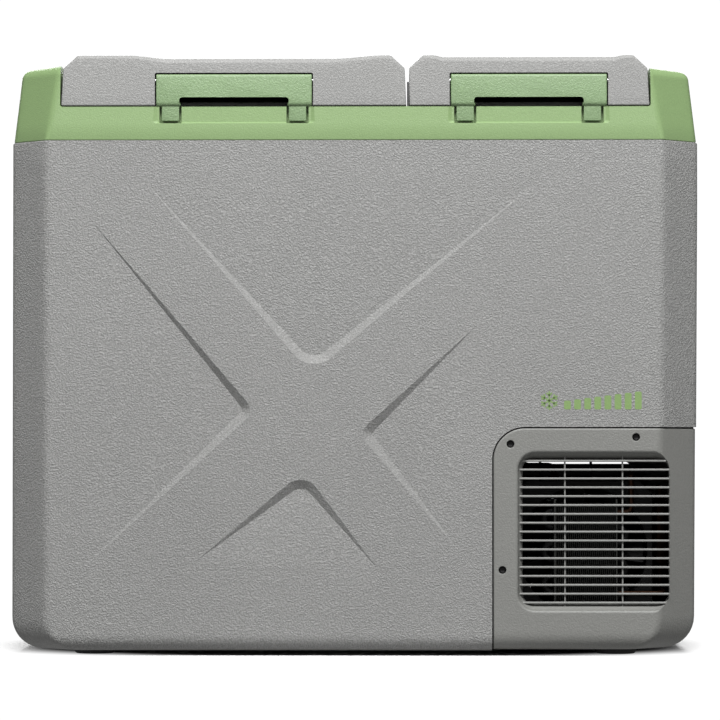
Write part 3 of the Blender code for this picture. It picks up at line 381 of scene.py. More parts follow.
def finish(name, color, roughness, pebble=(600.0, 0.00008), tooth=(2500.0, 0.3), grain_shade=0.10, cloud=0.05,
           scuff=0.04, metallic=0.0, specular=0.5, coat=0.0):
    """A moulded, painted or metal finish.

    Its colour runs between a darker and a lighter one by the grain's painted light and shade, lighter on
    the pebbles' tops and darker between them, then by the cloud; its roughness follows the cloud and the
    scuffs; its normal is the grain's. pebble and tooth are each a scale and a height.
    """
    mat, tree, shader = material_tree(name)
    for label, value in (("Metallic", metallic), ("Specular IOR Level", specular), ("Coat Weight", coat)):
        shader.inputs[label].default_value = value
    grain = tree.nodes.new("ShaderNodeGroup")
    grain.node_tree = GRAIN
    for label, value in (("Pebble Scale", pebble[0]), ("Pebble Height", pebble[1]),
                         ("Tooth Scale", tooth[0]), ("Tooth", tooth[1])):
        grain.inputs[label].default_value = value
    handling = tree.nodes.new("ShaderNodeGroup")
    handling.node_tree = HANDLING
    handling.inputs["Cloud Scale"].default_value = 9.0
    handling.inputs["Scuff Scale"].default_value = 240.0
    color = np.array(color)
    # painted light and shade on the grain: the colour is lighter on the pebbles' tops and darker between them
    grain_shaded = node(tree, "Mix", {"A": (*(color * (1 - grain_shade)), 1),
                                 "B": (*np.minimum(color * (1 + grain_shade), 1), 1)}, data_type="RGBA")
    clouded = node(tree, "Mix", {"B": (*[1 - 2 * cloud] * 3, 1)}, data_type="RGBA", blend_type="MULTIPLY")
    rough = node(tree, "MapRange", {"To Min": roughness - ROUGHNESS_SWING,
                                    "To Max": roughness + ROUGHNESS_SWING})
    scuffed = node(tree, "Math", {1: scuff * 3}, operation="MULTIPLY_ADD")
    wire(tree, (grain, "Pebble Shade", grain_shaded, "Factor"), (grain_shaded, "Result", clouded, "A"),
         (handling, "Cloud", clouded, "Factor"), (clouded, "Result", shader, "Base Color"),
         (handling, "Cloud", rough, "Value"), (handling, "Scuff", scuffed, 0), (rough, "Result", scuffed, 2),
         (scuffed, "Value", shader, "Roughness"), (grain, "Normal", shader, "Normal"))
    return mat


FINISHES = {
    "shell_grey": finish("shell_grey", (0.232, 0.232, 0.226), 0.55, (680, 0.00052), (1900, 0.25), 0.16),
    "lid_grey": finish("lid_grey", (0.217, 0.217, 0.211), 0.55, (760, 0.00022), (1900, 0.25), 0.12),
    "cover_grey": finish("cover_grey", (0.162, 0.163, 0.153), 0.5, (700, 0.00012), (2400, 0.3), 0.06),
    "slat_grey": finish("slat_grey", (0.165, 0.166, 0.158), 0.45, (900, 0.00006), (3000, 0.3), 0.04),
    "trim_green": finish("trim_green", (0.184, 0.273, 0.119), 0.48, (900, 0.00008), (3000, 0.3), 0.05),
    "latch_green": finish("latch_green", (0.166, 0.245, 0.125), 0.5, (720, 0.00016), (2600, 0.3), 0.08),
    "liner_white": finish("liner_white", (0.50, 0.51, 0.50), 0.35, (120, 0.00005), (1500, 0.1), 0.02),
    "foam": finish("foam", (0.75, 0.66, 0.42), 0.9, (450, 0.0006), (2000, 0.5), 0.18),
    "rubber": finish("rubber", (0.022, 0.022, 0.022), 0.75, (900, 0.00010), (3000, 0.4), 0.2),
    "grey_rubber": finish("grey_rubber", (0.30, 0.30, 0.30), 0.65, (1200, 0.00006), (3200, 0.3), 0.06),
    "steel": finish("steel", (0.55, 0.55, 0.56), 0.3, (300, 0.00002), (4000, 0.4), 0.05, metallic=1.0),
    # black_metal, dark_metal (the condenser's fins) and painted_steel: partly the parts' own dark colours, partly
    # painted shade, made darker still for the shaded bay
    "black_metal": finish("black_metal", (0.009, 0.009, 0.009), 0.5, (500, 0.00008), (2500, 0.3), 0.15,
                          specular=0.25),
    "dark_metal": finish("dark_metal", (0.055, 0.056, 0.052), 0.5, (500, 0.0001), (2500, 0.3), 0.15,
                         metallic=0.4, specular=0.3),
    "painted_steel": finish("painted_steel", (0.005, 0.005, 0.005), 0.65, (400, 0.00006), (2500, 0.3), 0.1,
                            specular=0.2),
    "aluminium": finish("aluminium", (0.72, 0.72, 0.72), 0.4, (300, 0.00003), (4000, 0.4), 0.04,
                        metallic=1.0),
    # copper made nearly black: painted shade for the tubes inside the shaded bay, not copper's own colour
    "copper": finish("copper", (0.045, 0.024, 0.016), 0.55, (260, 0.00004), (3000, 0.3), 0.12, metallic=1.0),
    "black_plastic": finish("black_plastic", (0.007, 0.007, 0.007), 0.55, (1100, 0.00007), (3000, 0.3), 0.15,
                            specular=0.25),
    "dark_glass": finish("dark_glass", (0.012, 0.012, 0.014), 0.08, (60, 0.00001), (900, 0.05), 0.1,
                         scuff=0.02, coat=0.6),
    "board_green": finish("board_green", (0.02, 0.14, 0.05), 0.5, (500, 0.00008), (2500, 0.2), 0.2),
    "mark_green": finish("mark_green", (0.16, 0.25, 0.085), 0.5, (900, 0.00005), (3000, 0.3), 0.05),
    "screw_black": finish("screw_black", (0.006, 0.006, 0.006), 0.45, (800, 0.00004), (3000, 0.3), 0.1,
                          metallic=0.5),
}


# ---- the body ----
def body_outline(half_x, half_y, facet, front_steps, other_steps=14, arc=6, radius=EDGE_RADIUS):
    """A rectangle with 45-degree facets across its corners and round facet edges, anticlockwise from the
    front left; the front side has the most steps."""
    x, y, f = half_x, half_y, facet
    corners = [(-x + f, -y), (x - f, -y), (x, -y + f), (x, y - f), (x - f, y), (-x + f, y), (-x, y - f),
               (-x, -y + f)]
    runs = [front_steps, 5, other_steps, 5, other_steps, 5, other_steps, 5]
    return rounded(corners, radius, arc, runs)


def end_lean(x, z):
    """How far the right end stands in at a height: none above LEAN_TOP, LEAN at the base."""
    return LEAN * min(max((LEAN_TOP - z) / (LEAN_TOP - BODY_BASE), 0.0), 1.0) * smooth((x - 225.0) / 45.0)


def body_ring(z, inset, end_inset, base, front_steps):
    """The body's outline at a height: near the base it draws in by a quarter circle, more at the ends."""
    rise = z - base - inset
    half_x = HALF_X - inset - end_inset - tuck(rise, END_RADIUS - inset)
    half_y = HALF_Y - inset - tuck(rise, FRONT_RADIUS - inset)
    ring = place("Z", body_outline(half_x, half_y, FACET - 0.586 * inset, front_steps), z)
    ring[:, 0] -= end_lean(ring[:, 0], z)
    return ring


# the cross on the front is what four pockets leave: for each pocket its vertex, its two fading ends, the
# radius of the vertex, and how wide the walls along its two sides are where it is deepest
CROSS = (
    ((-36.6, 239.5), (-180.0, 406.0), (158.0, 406.0), 23.0, (8.0, 8.0)),
    ((-84.5, 208.5), (-230.0, 378.0), (-236.0, 70.0), 11.0, (7.0, 8.5)),
    ((3.5, 190.0), (106.0, 283.0), (92.0, 86.0), 10.0, (8.5, 8.5)),
    ((-43.0, 157.5), (-136.0, 80.0), (22.0, 72.0), 17.0, (8.5, 8.5)),
)
CROSS_DEPTH = 5.5
CROSS_MARGIN = 0.05


def cross_cut(name, vertex, one, two, radius, widths):
    """A cutter for one pocket of the cross.

    Its floor is a plane, deepest at the vertex, that comes up through the face at the line between the
    fading ends. From its outline each wall slopes inwards to the floor; a wall is as wide as the floor is
    deep there, times its own factor.
    """
    vertex, one, two = (np.array(p) for p in (vertex, one, two))
    arc = corner_arcs([one, vertex, two], (1.0, radius, 1.0), 14)[1]
    path = np.concatenate((between(one, arc[0], np.linspace(0, 1, 9)[:-1]), arc,
                           between(arc[-1], two, np.linspace(0, 1, 9)[1:])))
    along = np.gradient(path, axis=0)
    along /= np.linalg.norm(along, axis=1, keepdims=True)
    inward = np.stack((-along[:, 1], along[:, 0]), -1)
    inward *= np.sign((inward[0] * (two - one)).sum())
    far = (two - one) / np.linalg.norm(two - one)
    away = np.array([-far[1], far[0]])
    away *= np.sign(away.dot(vertex - one))
    reach = away.dot(arc[7] - one)
    share = ((path - one) @ away) / reach
    width = np.interp(np.arange(len(path)), (8, 8 + 14), widths)
    wall = width * share / (1 - width * (inward @ away) / reach)
    foot = path + inward * wall[:, None]
    foot_depth = CROSS_DEPTH * ((foot - one) @ away) / reach - CROSS_MARGIN
    lip = path - inward * (width / CROSS_DEPTH)[:, None]
    return loft(name, [place("Y", lip, FRONT - 1.0), place("Y", foot, FRONT + foot_depth)])


def end_cut(name, side, y, z, radius, depth=30):
    """A round-cornered block through one end wall."""
    outline = rounded(rectangle(*y, *z), radius, 8)
    x = sorted((side * (HALF_X - depth), side * (HALF_X + 8)))
    return loft(name, [place("X", outline, x[0]), place("X", outline, x[1])])


PANEL_LOW, PANEL_HIGH = span("panel_bezel")
# the openings of the two handle cups, and the clearance round the panel and the inlets
HANDLE_Y, HANDLE_Z, CUP_RADIUS = (-65.0, 65.0), (372.0, 422.0), 9
FIT = 0.3
# the shell's round upper rim, and how thick it stays behind the cross's pockets
SHELL_RIM, FRONT_SKIN = 1.2, 9.5
# the seam round the compressor cover: its gap, its left and top lines, and its round corner
SEAM_GAP = 1.2
SEAM_X, SEAM_TOP = COVER_LOW[0] - SEAM_GAP, COVER_HIGH[2] + SEAM_GAP
SEAM_CORNER = 28.1


def make_shell():
    """The outer shell: the body's skin with the cross's pockets cut into its front, and its inner skin."""
    steps = 24
    turn = np.linspace(0, math.pi / 2, 15)
    low = BODY_BASE + END_RADIUS * (1 - np.cos(turn))
    rim_start = BODY_TOP - SHELL_RIM
    levels = np.concatenate((low, np.linspace(low[-1], rim_start, 20)[1:]))
    outer = np.stack([body_ring(z, 0, 0, BODY_BASE, steps) for z in levels])
    rim = [body_ring(rim_start + SHELL_RIM * math.sin(t), 0, SHELL_RIM * (1 - math.cos(t)), BODY_BASE, steps)
           for t in (0.5, 1.0, 1.4, math.pi / 2)]
    inner = [body_ring(z, WALL, 0, BODY_BASE, steps)
             for z in (BODY_TOP, 300, 150, 60, 34, 22, 14, BODY_BASE + WALL)]
    inner = np.stack(inner)
    inner[..., 1] = np.maximum(inner[..., 1], FRONT + FRONT_SKIN)
    rings = np.concatenate((outer, np.stack(rim), inner))
    shell = loft("shell_skin", rings, FINISHES["shell_grey"], "cooler")
    bay = rounded(rectangle(SEAM_X, 400, -30, SEAM_TOP), (1, 1, 1, SEAM_CORNER), 14)
    bay_cut = prism("bay_cut", "Y", bay, -260, 260)
    panel_y = (PANEL_LOW[1] - FIT, PANEL_HIGH[1] + FIT)
    panel_z = (PANEL_LOW[2] - FIT, PANEL_HIGH[2] + FIT)
    pockets = [cross_cut(f"pocket_{i}", *pocket) for i, pocket in enumerate(CROSS)]
    carve(shell, [*pockets, bay_cut, end_cut("cut_a", -1, HANDLE_Y, HANDLE_Z, CUP_RADIUS),
                  end_cut("cut_b", 1, HANDLE_Y, HANDLE_Z, CUP_RADIUS),
                  end_cut("cut_c", 1, panel_y, panel_z, 1.0)], degrees=14)
    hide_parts("outer_shell")


def make_cups():
    """The handle cups: round-cornered trays set into the ends."""
    for side, label in ((-1, "left"), (1, "right")):
        outline = rounded(rectangle(*HANDLE_Y, *HANDLE_Z), CUP_RADIUS, 8)
        rings = []
        for inset, depth in ((-1.0, 22.0), (0.15, 4.0), (0.15, 0.6), (0.6, 0.15), (1.2, 0.5), (1.6, 1.4),
                             (2.0, 12.0), (2.4, 17.0), (3.4, 19.0), (5.4, 19.8)):
            rings.append(place("X", grown(outline, -inset), side * (HALF_X - depth)))
        cup = loft(f"handle_cup_{label}", rings, FINISHES["shell_grey"], "cooler")


# ---- the compressor cover ----
GRILLE_X, GRILLE_Z, GRILLE_CORNER = (139.7, 268.5), (39.2, 173.0), 14.5
REAR_X, REAR_Z, REAR_CORNER = (140.0, 258.0), (45.0, 165.0), 10.0
# the round lip of the front opening, the cover's wall, and the round edge beside its seam
LIP, COVER_WALL, SEAM_ROUND = 2.4, 2.5, 1.2
SCREW_BORE = 3.25
# the cover's end stands this far inside the body's
COVER_INSET = 1.0


def cover_path(half_x, half_y, left, shares):
    """The cover's plan line: from the seam along the front, round the right end, and back along the rear."""
    corners = [(left, -half_y), (half_x - FACET, -half_y), (half_x, FACET - half_y), (half_x, half_y - FACET),
               (half_x - FACET, half_y), (left, half_y)]
    arcs = corner_arcs(corners, (0.1, *[EDGE_RADIUS] * 4, 0.1), 10)
    ends = np.linspace(0, 1, 16)[1:-1]
    facet = np.linspace(0, 1, 5)[1:-1]
    parts = [between(corners[0], arcs[1, 0], shares[:-1]), arcs[1], between(arcs[1, -1], arcs[2, 0], facet),
             arcs[2], between(arcs[2, -1], arcs[3, 0], ends), arcs[3],
             between(arcs[3, -1], arcs[4, 0], facet), arcs[4], between(arcs[4, -1], corners[5], 1 - shares[-2::-1])]
    return np.concatenate(parts)


def cover_face(x):
    """The cover's front surface at places along X: flat, then round into the facet."""
    path = cover_path(HALF_X - COVER_INSET, HALF_Y, 100.0, np.linspace(0, 1, 9))
    front = path[: len(path) // 2]
    return np.interp(x, front[:, 0], front[:, 1])


def opening_ring(grow, depth, front=True, arc=12):
    """A grille opening's outline, grown, at a depth behind the cover's own surface."""
    x, z, corner = (GRILLE_X, GRILLE_Z, GRILLE_CORNER) if front else (REAR_X, REAR_Z, REAR_CORNER)
    outline = grown(rounded(rectangle(*x, *z), corner, arc, (30, 30, 30, 30)), grow)
    if front:
        return place("Y", outline, cover_face(outline[:, 0]) + depth)
    return place("Y", outline, HALF_Y - depth)


def flared_cut(name):
    """A cutter for the front opening, whose rim it leaves as a quarter circle."""
    turn = np.linspace(0, math.pi / 2, 7)
    rings = [opening_ring(LIP, -9.0), opening_ring(LIP, -0.02)]
    rings += [opening_ring(LIP * (1 - math.sin(t)), LIP * (1 - math.cos(t))) for t in turn[1:]]
    rings.append(opening_ring(0.0, 12.0))
    return loft(name, rings)


def make_cover():
    """The compressor cover: a wall that wraps the bay's front, end and back.

    Its seam edge follows the bay's round corner, and towards the seam the surface falls away by a quarter
    circle of the distance to it.
    """
    base, top = COVER_LOW[2], COVER_HIGH[2]
    seam_x, corner = COVER_LOW[0], SEAM_CORNER - SEAM_GAP
    turn = np.linspace(0, math.pi / 2, 10)
    low = base + END_RADIUS * (1 - np.cos(turn))
    close = top - np.array([2.6, 1.7, 1.0, 0.5, 0.2, 0.0])
    levels = np.concatenate((low, np.linspace(low[-1], top - 4.0, 100)[1:], close))
    shares = np.concatenate(((0, 0.0015, 0.004, 0.008, 0.014), np.linspace(0.024, 1, 90)))
    rings = []
    for z in levels:
        rise = z - base
        half_x = HALF_X - COVER_INSET - tuck(rise, END_RADIUS)
        half_y = HALF_Y - tuck(rise, FRONT_RADIUS)
        over = max(z - (top - corner), 0.0)
        left = seam_x + corner - math.sqrt(max(corner**2 - over**2, 0.0))
        path = cover_path(half_x, half_y, left, shares)
        path[:, 0] -= end_lean(path[:, 0], z)
        along = np.gradient(path, axis=0)
        along /= np.linalg.norm(along, axis=1, keepdims=True)
        inner = path - COVER_WALL * np.stack((along[:, 1], -along[:, 0]), -1)
        seam = min(top - z, 1e3)
        if over > 0:
            seam = corner - np.hypot(path[:, 0] - seam_x - corner, z - top + corner)
            seam = np.where(path[:, 0] < seam_x + corner, seam, top - z)
        else:
            seam = path[:, 0] - seam_x
        fall = tuck(np.maximum(seam, 0.0), SEAM_ROUND)
        outer = path - fall[:, None] * np.stack((along[:, 1], -along[:, 0]), -1)
        rings.append(place("Z", np.concatenate((outer, inner[::-1])), z))
    cover = loft("cover_skin", rings, FINISHES["cover_grey"], "cooler", degrees=50)
    tools = []
    for i in (1, 2, 3):
        middle = centre_of(f"cover_screw_{i}")
        turn = np.linspace(0, math.pi / 2, 4)
        profile = [(SCREW_BORE + 0.5, FRONT - 8), (SCREW_BORE + 0.5, FRONT - 0.01)]
        profile += [(SCREW_BORE + 0.5 * (1 - math.sin(t)), FRONT + 0.5 * (1 - math.cos(t)))
                    for t in turn[1:]]
        profile.append((SCREW_BORE, FRONT + 8))
        tools.append(turned(f"bore_{i}", "Y", (middle[0], middle[2]), profile, segments=36))
    for inlet in ("dc_inlet", "ac_inlet"):
        low_corner, high_corner = span(inlet)
        outline = rounded(rectangle(low_corner[1] - FIT, high_corner[1] + FIT, low_corner[2] - FIT,
                                    high_corner[2] + FIT), 0.8, 3)
        tools.append(prism(f"{inlet}_cut", "X", outline, 280, 320))
    rear = [opening_ring(0.05, depth, False) for depth in (-9.3, 12.1)]
    tools += [flared_cut("front_cut"), loft("rear_cut", rear)]
    carve(cover, tools, degrees=50)
    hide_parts("compressor_cover")


def make_seam_shade():
    """A black strip behind the cover's seam: painted shade, so that the gap reads as a thin dark line."""
    corner = (SEAM_X, SEAM_TOP)
    start, end = (SEAM_X, BODY_BASE + FRONT_RADIUS), (HALF_X - 4.0, SEAM_TOP)
    arc = corner_arcs([start, corner, end], (0.1, SEAM_CORNER, 0.1), 16)[1]
    path = np.concatenate((between(start, arc[0], np.linspace(0, 1, 12)[:-1]), arc,
                           between(arc[-1], end, np.linspace(0, 1, 24)[1:])))
    along = np.gradient(path, axis=0)
    along /= np.linalg.norm(along, axis=1, keepdims=True)
    inward = np.stack((along[:, 1], -along[:, 0]), -1)
    near, far = path + inward * 0.02, path + inward * 4.5
    rings = []
    for a, b in zip(near, far):
        rings.append([(a[0], cover_face(a[0]) + 2.65, a[1]), (b[0], cover_face(b[0]) + 2.65, b[1]),
                      (b[0], cover_face(b[0]) + 4.0, b[1]), (a[0], cover_face(a[0]) + 4.0, a[1])])
    loft("seam_shade_strip", rings, FINISHES["black_plastic"], "cooler")


SLAT_COUNT, SLAT_PITCH, SLAT_LOW, SLAT_THICK, SLAT_DEPTH = 17, 7.55, 45.4, 1.8, 3.4
RIB_X = (179.5, 228.6)


def make_grille():
    """The front grille: level slats with round noses, upright ribs behind them, and a surround that is
    drafted above, below and at the left, and almost straight at the right."""
    front = span("front_grille")[0][1]
    grey = FINISHES["cover_grey"]
    rings = []
    for grow, depth in ((0.35, 2.2), (0.0, 2.35), (-0.25, 3.2), (-1.6, 5.0), (-3.4, 7.2), (-4.6, 9.0),
                        (-5.0, 12.5), (-3.2, 12.5), (0.35, 6.0)):
        ring = opening_ring(grow, depth)
        ring[:, 0] -= min(grow, 0.0) * 0.93 * smooth((ring[:, 0] - 245.0) / 18.0)
        ring[:, 0] += min(grow, 0.0) * 0.22 * smooth((160.0 - ring[:, 0]) / 14.0)
        rings.append(ring)
    surround = loft("grille_surround", rings, grey, "cooler", closed=True)
    slats = []
    for i in range(SLAT_COUNT):
        z = SLAT_LOW + SLAT_PITCH * i
        edge = float(tuck(min(z - GRILLE_Z[0], GRILLE_Z[1] - z) - 1.0, GRILLE_CORNER))
        shape = rounded(rectangle(front, front + SLAT_DEPTH, z - SLAT_THICK / 2, z + SLAT_THICK / 2),
                        (0.5, 0.3, 0.3, 0.8), 4)
        x = (GRILLE_X[0] + 0.2 + edge, GRILLE_X[1] - 0.2 - edge)
        slats.append(prism(f"slat_{i}", "X", shape, *x))
    for i, x in enumerate(RIB_X):
        shape = rounded(rectangle(x - 0.65, x + 0.65, front + 1.6, front + 5.6), 0.4, 3)
        slats.append(prism(f"rib_{i}", "Z", shape, GRILLE_Z[0] + 1, GRILLE_Z[1] - 1))
    grille = merged("grille_slats", slats, FINISHES["slat_grey"], "cooler")
    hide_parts("front_grille")


LOUVRE_COUNT, LOUVRE_PITCH, LOUVRE_DROP, LOUVRE_RISE = 11, 10.4, 15.4, 13.6
UPRIGHT_X = (170.8, 218.7)


def make_rear_grille():
    """The rear grille: louvres that rise inwards and overlap, coloured black as painted shade so the bay reads
    dark, two uprights, and a plain surround.
    """
    low, high = span("rear_grille")
    grey = FINISHES["cover_grey"]
    parts = []
    for i in range(LOUVRE_COUNT):
        z = REAR_Z[1] - LOUVRE_DROP - LOUVRE_PITCH * i
        shape = rounded([(high[1], z - 1.4), (high[1], z + 0.4), (low[1], z + 0.4 + LOUVRE_RISE),
                         (low[1], z - 1.4 + LOUVRE_RISE)], 0.4, 3)
        edge = float(tuck(min(z + 4 - REAR_Z[0], REAR_Z[1] - z), REAR_CORNER))
        x = (REAR_X[0] + 0.3 + edge, REAR_X[1] - 0.3 - edge)
        parts.append(prism(f"louvre_{i}", "X", shape, *x))
    for i, x in enumerate(UPRIGHT_X):
        shape = rounded(rectangle(x - 1.2, x + 1.2, low[1], low[1] + 4.0), 0.4, 3)
        parts.append(prism(f"upright_{i}", "Z", shape, REAR_Z[0] + 1, REAR_Z[1] - 1))
    # louvres and uprights are black: painted shade for the bay behind the front grille
    louvres = merged("rear_louvres", parts, FINISHES["black_plastic"], "cooler")
    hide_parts("rear_grille")
    rings = [opening_ring(g, d, False) for g, d in
             ((0.35, 2.2), (0.0, 2.35), (-0.3, 4.0), (-0.5, 12.0), (0.9, 12.0), (1.2, 4.0))]
    loft("rear_surround", rings, grey, "cooler", closed=True)


def make_screws():
    """Cover screws: a dished cross-recess head down in each counterbore, and the bore's black sleeve."""
    for i in (1, 2, 3):
        low, high = span(f"cover_screw_{i}")
        x, _, z = (low + high) / 2
        y = low[1] + 1.6
        profile = ((0.4, y + 0.5), (1.2, y + 0.2), (2.2, y), (2.6, y + 0.4), (2.7, y + 1.0), (1.4, y + 1.4),
                   (1.4, high[1]))
        screw = turned(f"screw_{i}", "Y", (x, z), profile, FINISHES["screw_black"], "cooler", 32)
        bars = [block(f"slot_{i}_{k}", (x - a, x + a), (y - 2, y + 0.9), (z - b, z + b))
                for k, (a, b) in enumerate(((1.5, 0.35), (0.35, 1.5)))]
        carve(screw, bars)
        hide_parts(f"cover_screw_{i}")
        sleeve = [place("Y", circle(x, z, radius, 32), level) for radius, level in
                  ((3.25, FRONT + 0.7), (3.0, FRONT + 0.9), (2.95, FRONT + 4.5), (3.6, FRONT + 4.5),
                   (3.6, FRONT + 2.8))]
        loft(f"screw_seat_{i}", sleeve, FINISHES["black_plastic"], "cooler", closed=True)


# ---- the collar ----
# how much higher the left cheek is, and how much the cheeks' tops rise towards the middle
LEFT_CHEEK_RISE, CHEEK_CROWN = 2.0, 7.0
# how far the collar leans in at its ends and at its front and back
END_SLOPE, FRONT_SLOPE = 6.0, 1.5


def collar_ring(z, inset=0.0):
    """The collar's outline: it leans in going up, and rolls over by a quarter circle at the cheeks' tops."""
    lean = min(max((z - COLLAR_LOW[2]) / (CHEEK_SHOULDER - COLLAR_LOW[2]), 0.0), 1.0)
    over = min(max(z + inset - CHEEK_SHOULDER, 0.0) / (CHEEK_TOP - CHEEK_SHOULDER), 1.0)
    roll = 1 - math.sqrt(1 - over**2)
    half_x = COLLAR_HIGH[0] - END_SLOPE * lean - CHEEK_ROLL * roll - inset
    half_y = COLLAR_HIGH[1] - FRONT_SLOPE * lean - 4.0 * roll - inset
    facet = 31.0 + 4.0 * lean - inset * 0.586
    ring = place("Z", body_outline(half_x, half_y, facet, 12, 12, 8), z)
    rise = LEFT_CHEEK_RISE * max(z - DECK, 0.0) / (CHEEK_TOP - DECK)
    ring[:, 2] += np.where(ring[:, 0] < 0, rise, 0.0) + CHEEK_CROWN * over * (1 - np.abs(ring[:, 0]) / half_x)
    return ring


def room_ring(side, z, grow, arc=10):
    """A compartment's outline at a height: it narrows slightly towards its floor."""
    draft = 1.5 * (LINER_TOP - z) / (LINER_TOP - 62.0)
    low, high = ROOM_X[side]
    half_y = LINER_HALF_Y - draft + grow
    outline = rounded(rectangle(low + draft - grow, high - draft + grow, -half_y, half_y), 14.0 + grow, arc)
    return place("Z", outline, z)


def latch_centre(side):
    """Where a latch's middle is along X."""
    return float(centre_of(f"latch_{side}")[0])


# where each lid ends along X
LID_ENDS = {"left": (-250.4, 44.4), "right": (47.2, 251.7)}


# how far a latch's hooks stand from its middle
HOOK = 54.3
# the trough in which the lids lie
TROUGH_X = (-251.6, 253.0)
# the recess round each latch: half its width, its depth behind the collar's face, its lower edge, and how
# wide its sloping sides are
RECESS_HALF, RECESS_DEPTH, RECESS_FACE, RECESS_BASE, RECESS_SLOPE = 69.2, 1.9, -181.2, 454.4, 3.4
# the hook pockets: half their width, and how far back they go
POCKET_HALF, POCKET_BACK = 9.5, -172.8
# the hinge knuckles: how far they stand from a lid's end, and half their length
KNUCKLE_IN, KNUCKLE_HALF = 22.0, 8.0


def make_collar():
    """The collar: leaning skirt and cheeks, the lids' trough, the compartments' mouths, and for each latch a
    shallow recess with sloping sides and two hook pockets."""
    green = FINISHES["trim_green"]
    turn = np.linspace(0, math.pi / 2, 9)
    levels = [COLLAR_LOW[2], COLLAR_LOW[2] + 0.4, COLLAR_LOW[2] + 1.0, 455.0, 470.0, 482.0]
    levels += list(CHEEK_SHOULDER + (CHEEK_TOP - CHEEK_SHOULDER) * np.sin(turn))
    rings = [collar_ring(z) for z in levels]
    rings[0] = collar_ring(levels[0], 0.6)
    rings[0][:, 2] = levels[0]
    rings[1] = collar_ring(levels[1], 0.2)
    rings[1][:, 2] = levels[1]
    collar = loft("collar_skin", rings, green, "cooler", degrees=30)
    low, high = TROUGH_X
    outline = np.array([(low, DECK), (high, DECK), (high - 0.7, CHEEK_TOP + 20), (low + 0.7, CHEEK_TOP + 20)])
    trough_outline = rounded(outline, (2.0, 2.0, 0.5, 0.5), 4)
    trough = prism("trough", "Y", trough_outline, -260, 260)
    carve(collar, [trough], degrees=30)
    hollow = loft("hollow", [collar_ring(z, WALL) for z in (420.0, COLLAR_LOW[2] + 0.01, DECK - WALL)])
    centres = [latch_centre(side) for side in ("left", "right")]
    bosses = [block(f"boss_{i}", (c - 72, c + 72), (-200, -171.5), (450, 480)) for i, c in enumerate(centres)]
    carve(hollow, bosses)
    away = [hollow]
    for side in ("left", "right"):
        ring = room_ring(side, LINER_TOP, 0.0)
        away.append(loft(f"mouth_{side}", [ring - (0, 0, 20), ring + (0, 0, 20)]))
    carve(collar, away, degrees=30)
    away, add = [], []
    for side, c in zip(("left", "right"), centres):
        flare = rounded(rectangle(c - RECESS_HALF, c + RECESS_HALF, RECESS_BASE, 500.0), (2.5, 2.5, 1, 1), 4)
        half = RECESS_HALF - RECESS_SLOPE
        floor = rounded(rectangle(c - half, c + half, RECESS_BASE + 1.2, 500.0), (2, 2, 1, 1), 4)
        away.append(loft(f"recess_{side}", [
            place("Y", flare, RECESS_FACE - 8), place("Y", flare, RECESS_FACE + 0.1),
            place("Y", floor, RECESS_FACE + RECESS_DEPTH)]))
        for i, x in enumerate((c - HOOK, c + HOOK)):
            pocket = rounded(rectangle(x - POCKET_HALF, x + POCKET_HALF, RECESS_BASE, 500.0), 1.0, 3)
            away.append(prism(f"pocket_{side}_{i}", "Y", pocket, -200, POCKET_BACK))
        arc = np.linspace(0, math.pi, 17)
        top = np.stack((HINGE_Y + BARREL * np.cos(arc), HINGE_Z + BARREL * np.sin(arc)), -1)
        foot = np.array([(HINGE_Y - BARREL, DECK - 1.5), (HINGE_Y + BARREL, DECK - 1.5)])
        knuckle = np.concatenate((top, foot))
        for i, x in enumerate((LID_ENDS[side][0] + KNUCKLE_IN, LID_ENDS[side][1] - KNUCKLE_IN)):
            add.append(loft(f"knuckle_{side}_{i}", [
                place("X", grown(knuckle, -edge), x + level) for edge, level in
                ((0.7, -KNUCKLE_HALF), (0.0, 0.7 - KNUCKLE_HALF), (0.0, KNUCKLE_HALF - 0.7),
                 (0.7, KNUCKLE_HALF))]))
    carve(collar, away, degrees=20)
    carve(collar, (), add, degrees=20)
    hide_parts("collar")
    # a black strip standing in the gap between the lids, with a rubber finish: painted shade for the dark gap
    strip = block("lid_gap_shade_strip", (45.0, 46.6), (-177.0, 150.0), (DECK - 0.5, 490.0), 0,
                  FINISHES["rubber"], "cooler")


# ---- the compartments ----
def make_liners():
    """The two tubs: walls that draw in slightly to a round-edged floor, under a flange."""
    for side in ("left", "right"):
        floor, wall = ROOM_FLOOR[side], 2.0
        turn = np.linspace(0, math.pi / 2, 7)
        rings = [room_ring(side, floor - wall + 8 * (1 - math.cos(t)), wall - 8 * (1 - math.sin(t)))
                 for t in turn]
        rings += [room_ring(side, z, g) for z, g in
                  ((LINER_TOP - wall, wall), (LINER_TOP - wall, wall + 8), (LINER_TOP, wall + 8),
                   (LINER_TOP, 0.0))]
        rings += [room_ring(side, floor + 6 * (1 - math.cos(t)), -6 * (1 - math.sin(t))) for t in turn[::-1]]
        liner = loft(f"liner_skin_{side}", rings, FINISHES["liner_white"], "cooler")
        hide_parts(f"liner_{side}")


# ---- the lids ----
LID_BASE, LID_SHOULDER, LID_RIM = 469.5, 501.6, 512.6
LID_CHAMFER = 12.0
LID_TOP_X = {"left": (-248.8, 43.0), "right": (46.8, 250.1)}
# for each end of each lid: how far its rim stays level, and how far it then falls to the dish
LID_DISH = {"left": ((44.0, 32.0), (3.0, 46.0)), "right": ((7.0, 9.0), (6.0, 10.0))}
LID_DIP = {"left": 2.8, "right": 1.5}


def lid_section(top, front_round, inset=0.0):
    """A lid's outline from front to back: leaning front with a round upper edge, flat top, sloping rear
    shoulder, and a barrel about the hinge."""
    lean = 0.025 * (top - LID_BASE)
    corners = [(-182.0, LID_BASE), (HINGE_Y + BARREL, LID_BASE), (170.0, 489.5), (165.3, top - 9.5),
               (155.5, top), (-182.0 + lean, top)]
    outline = rounded(corners, (1.0, BARREL, 6.0, 5.0, 6.0, front_round), 8, (10, 1, 1, 1, 10, 4))
    return grown(outline, -inset)


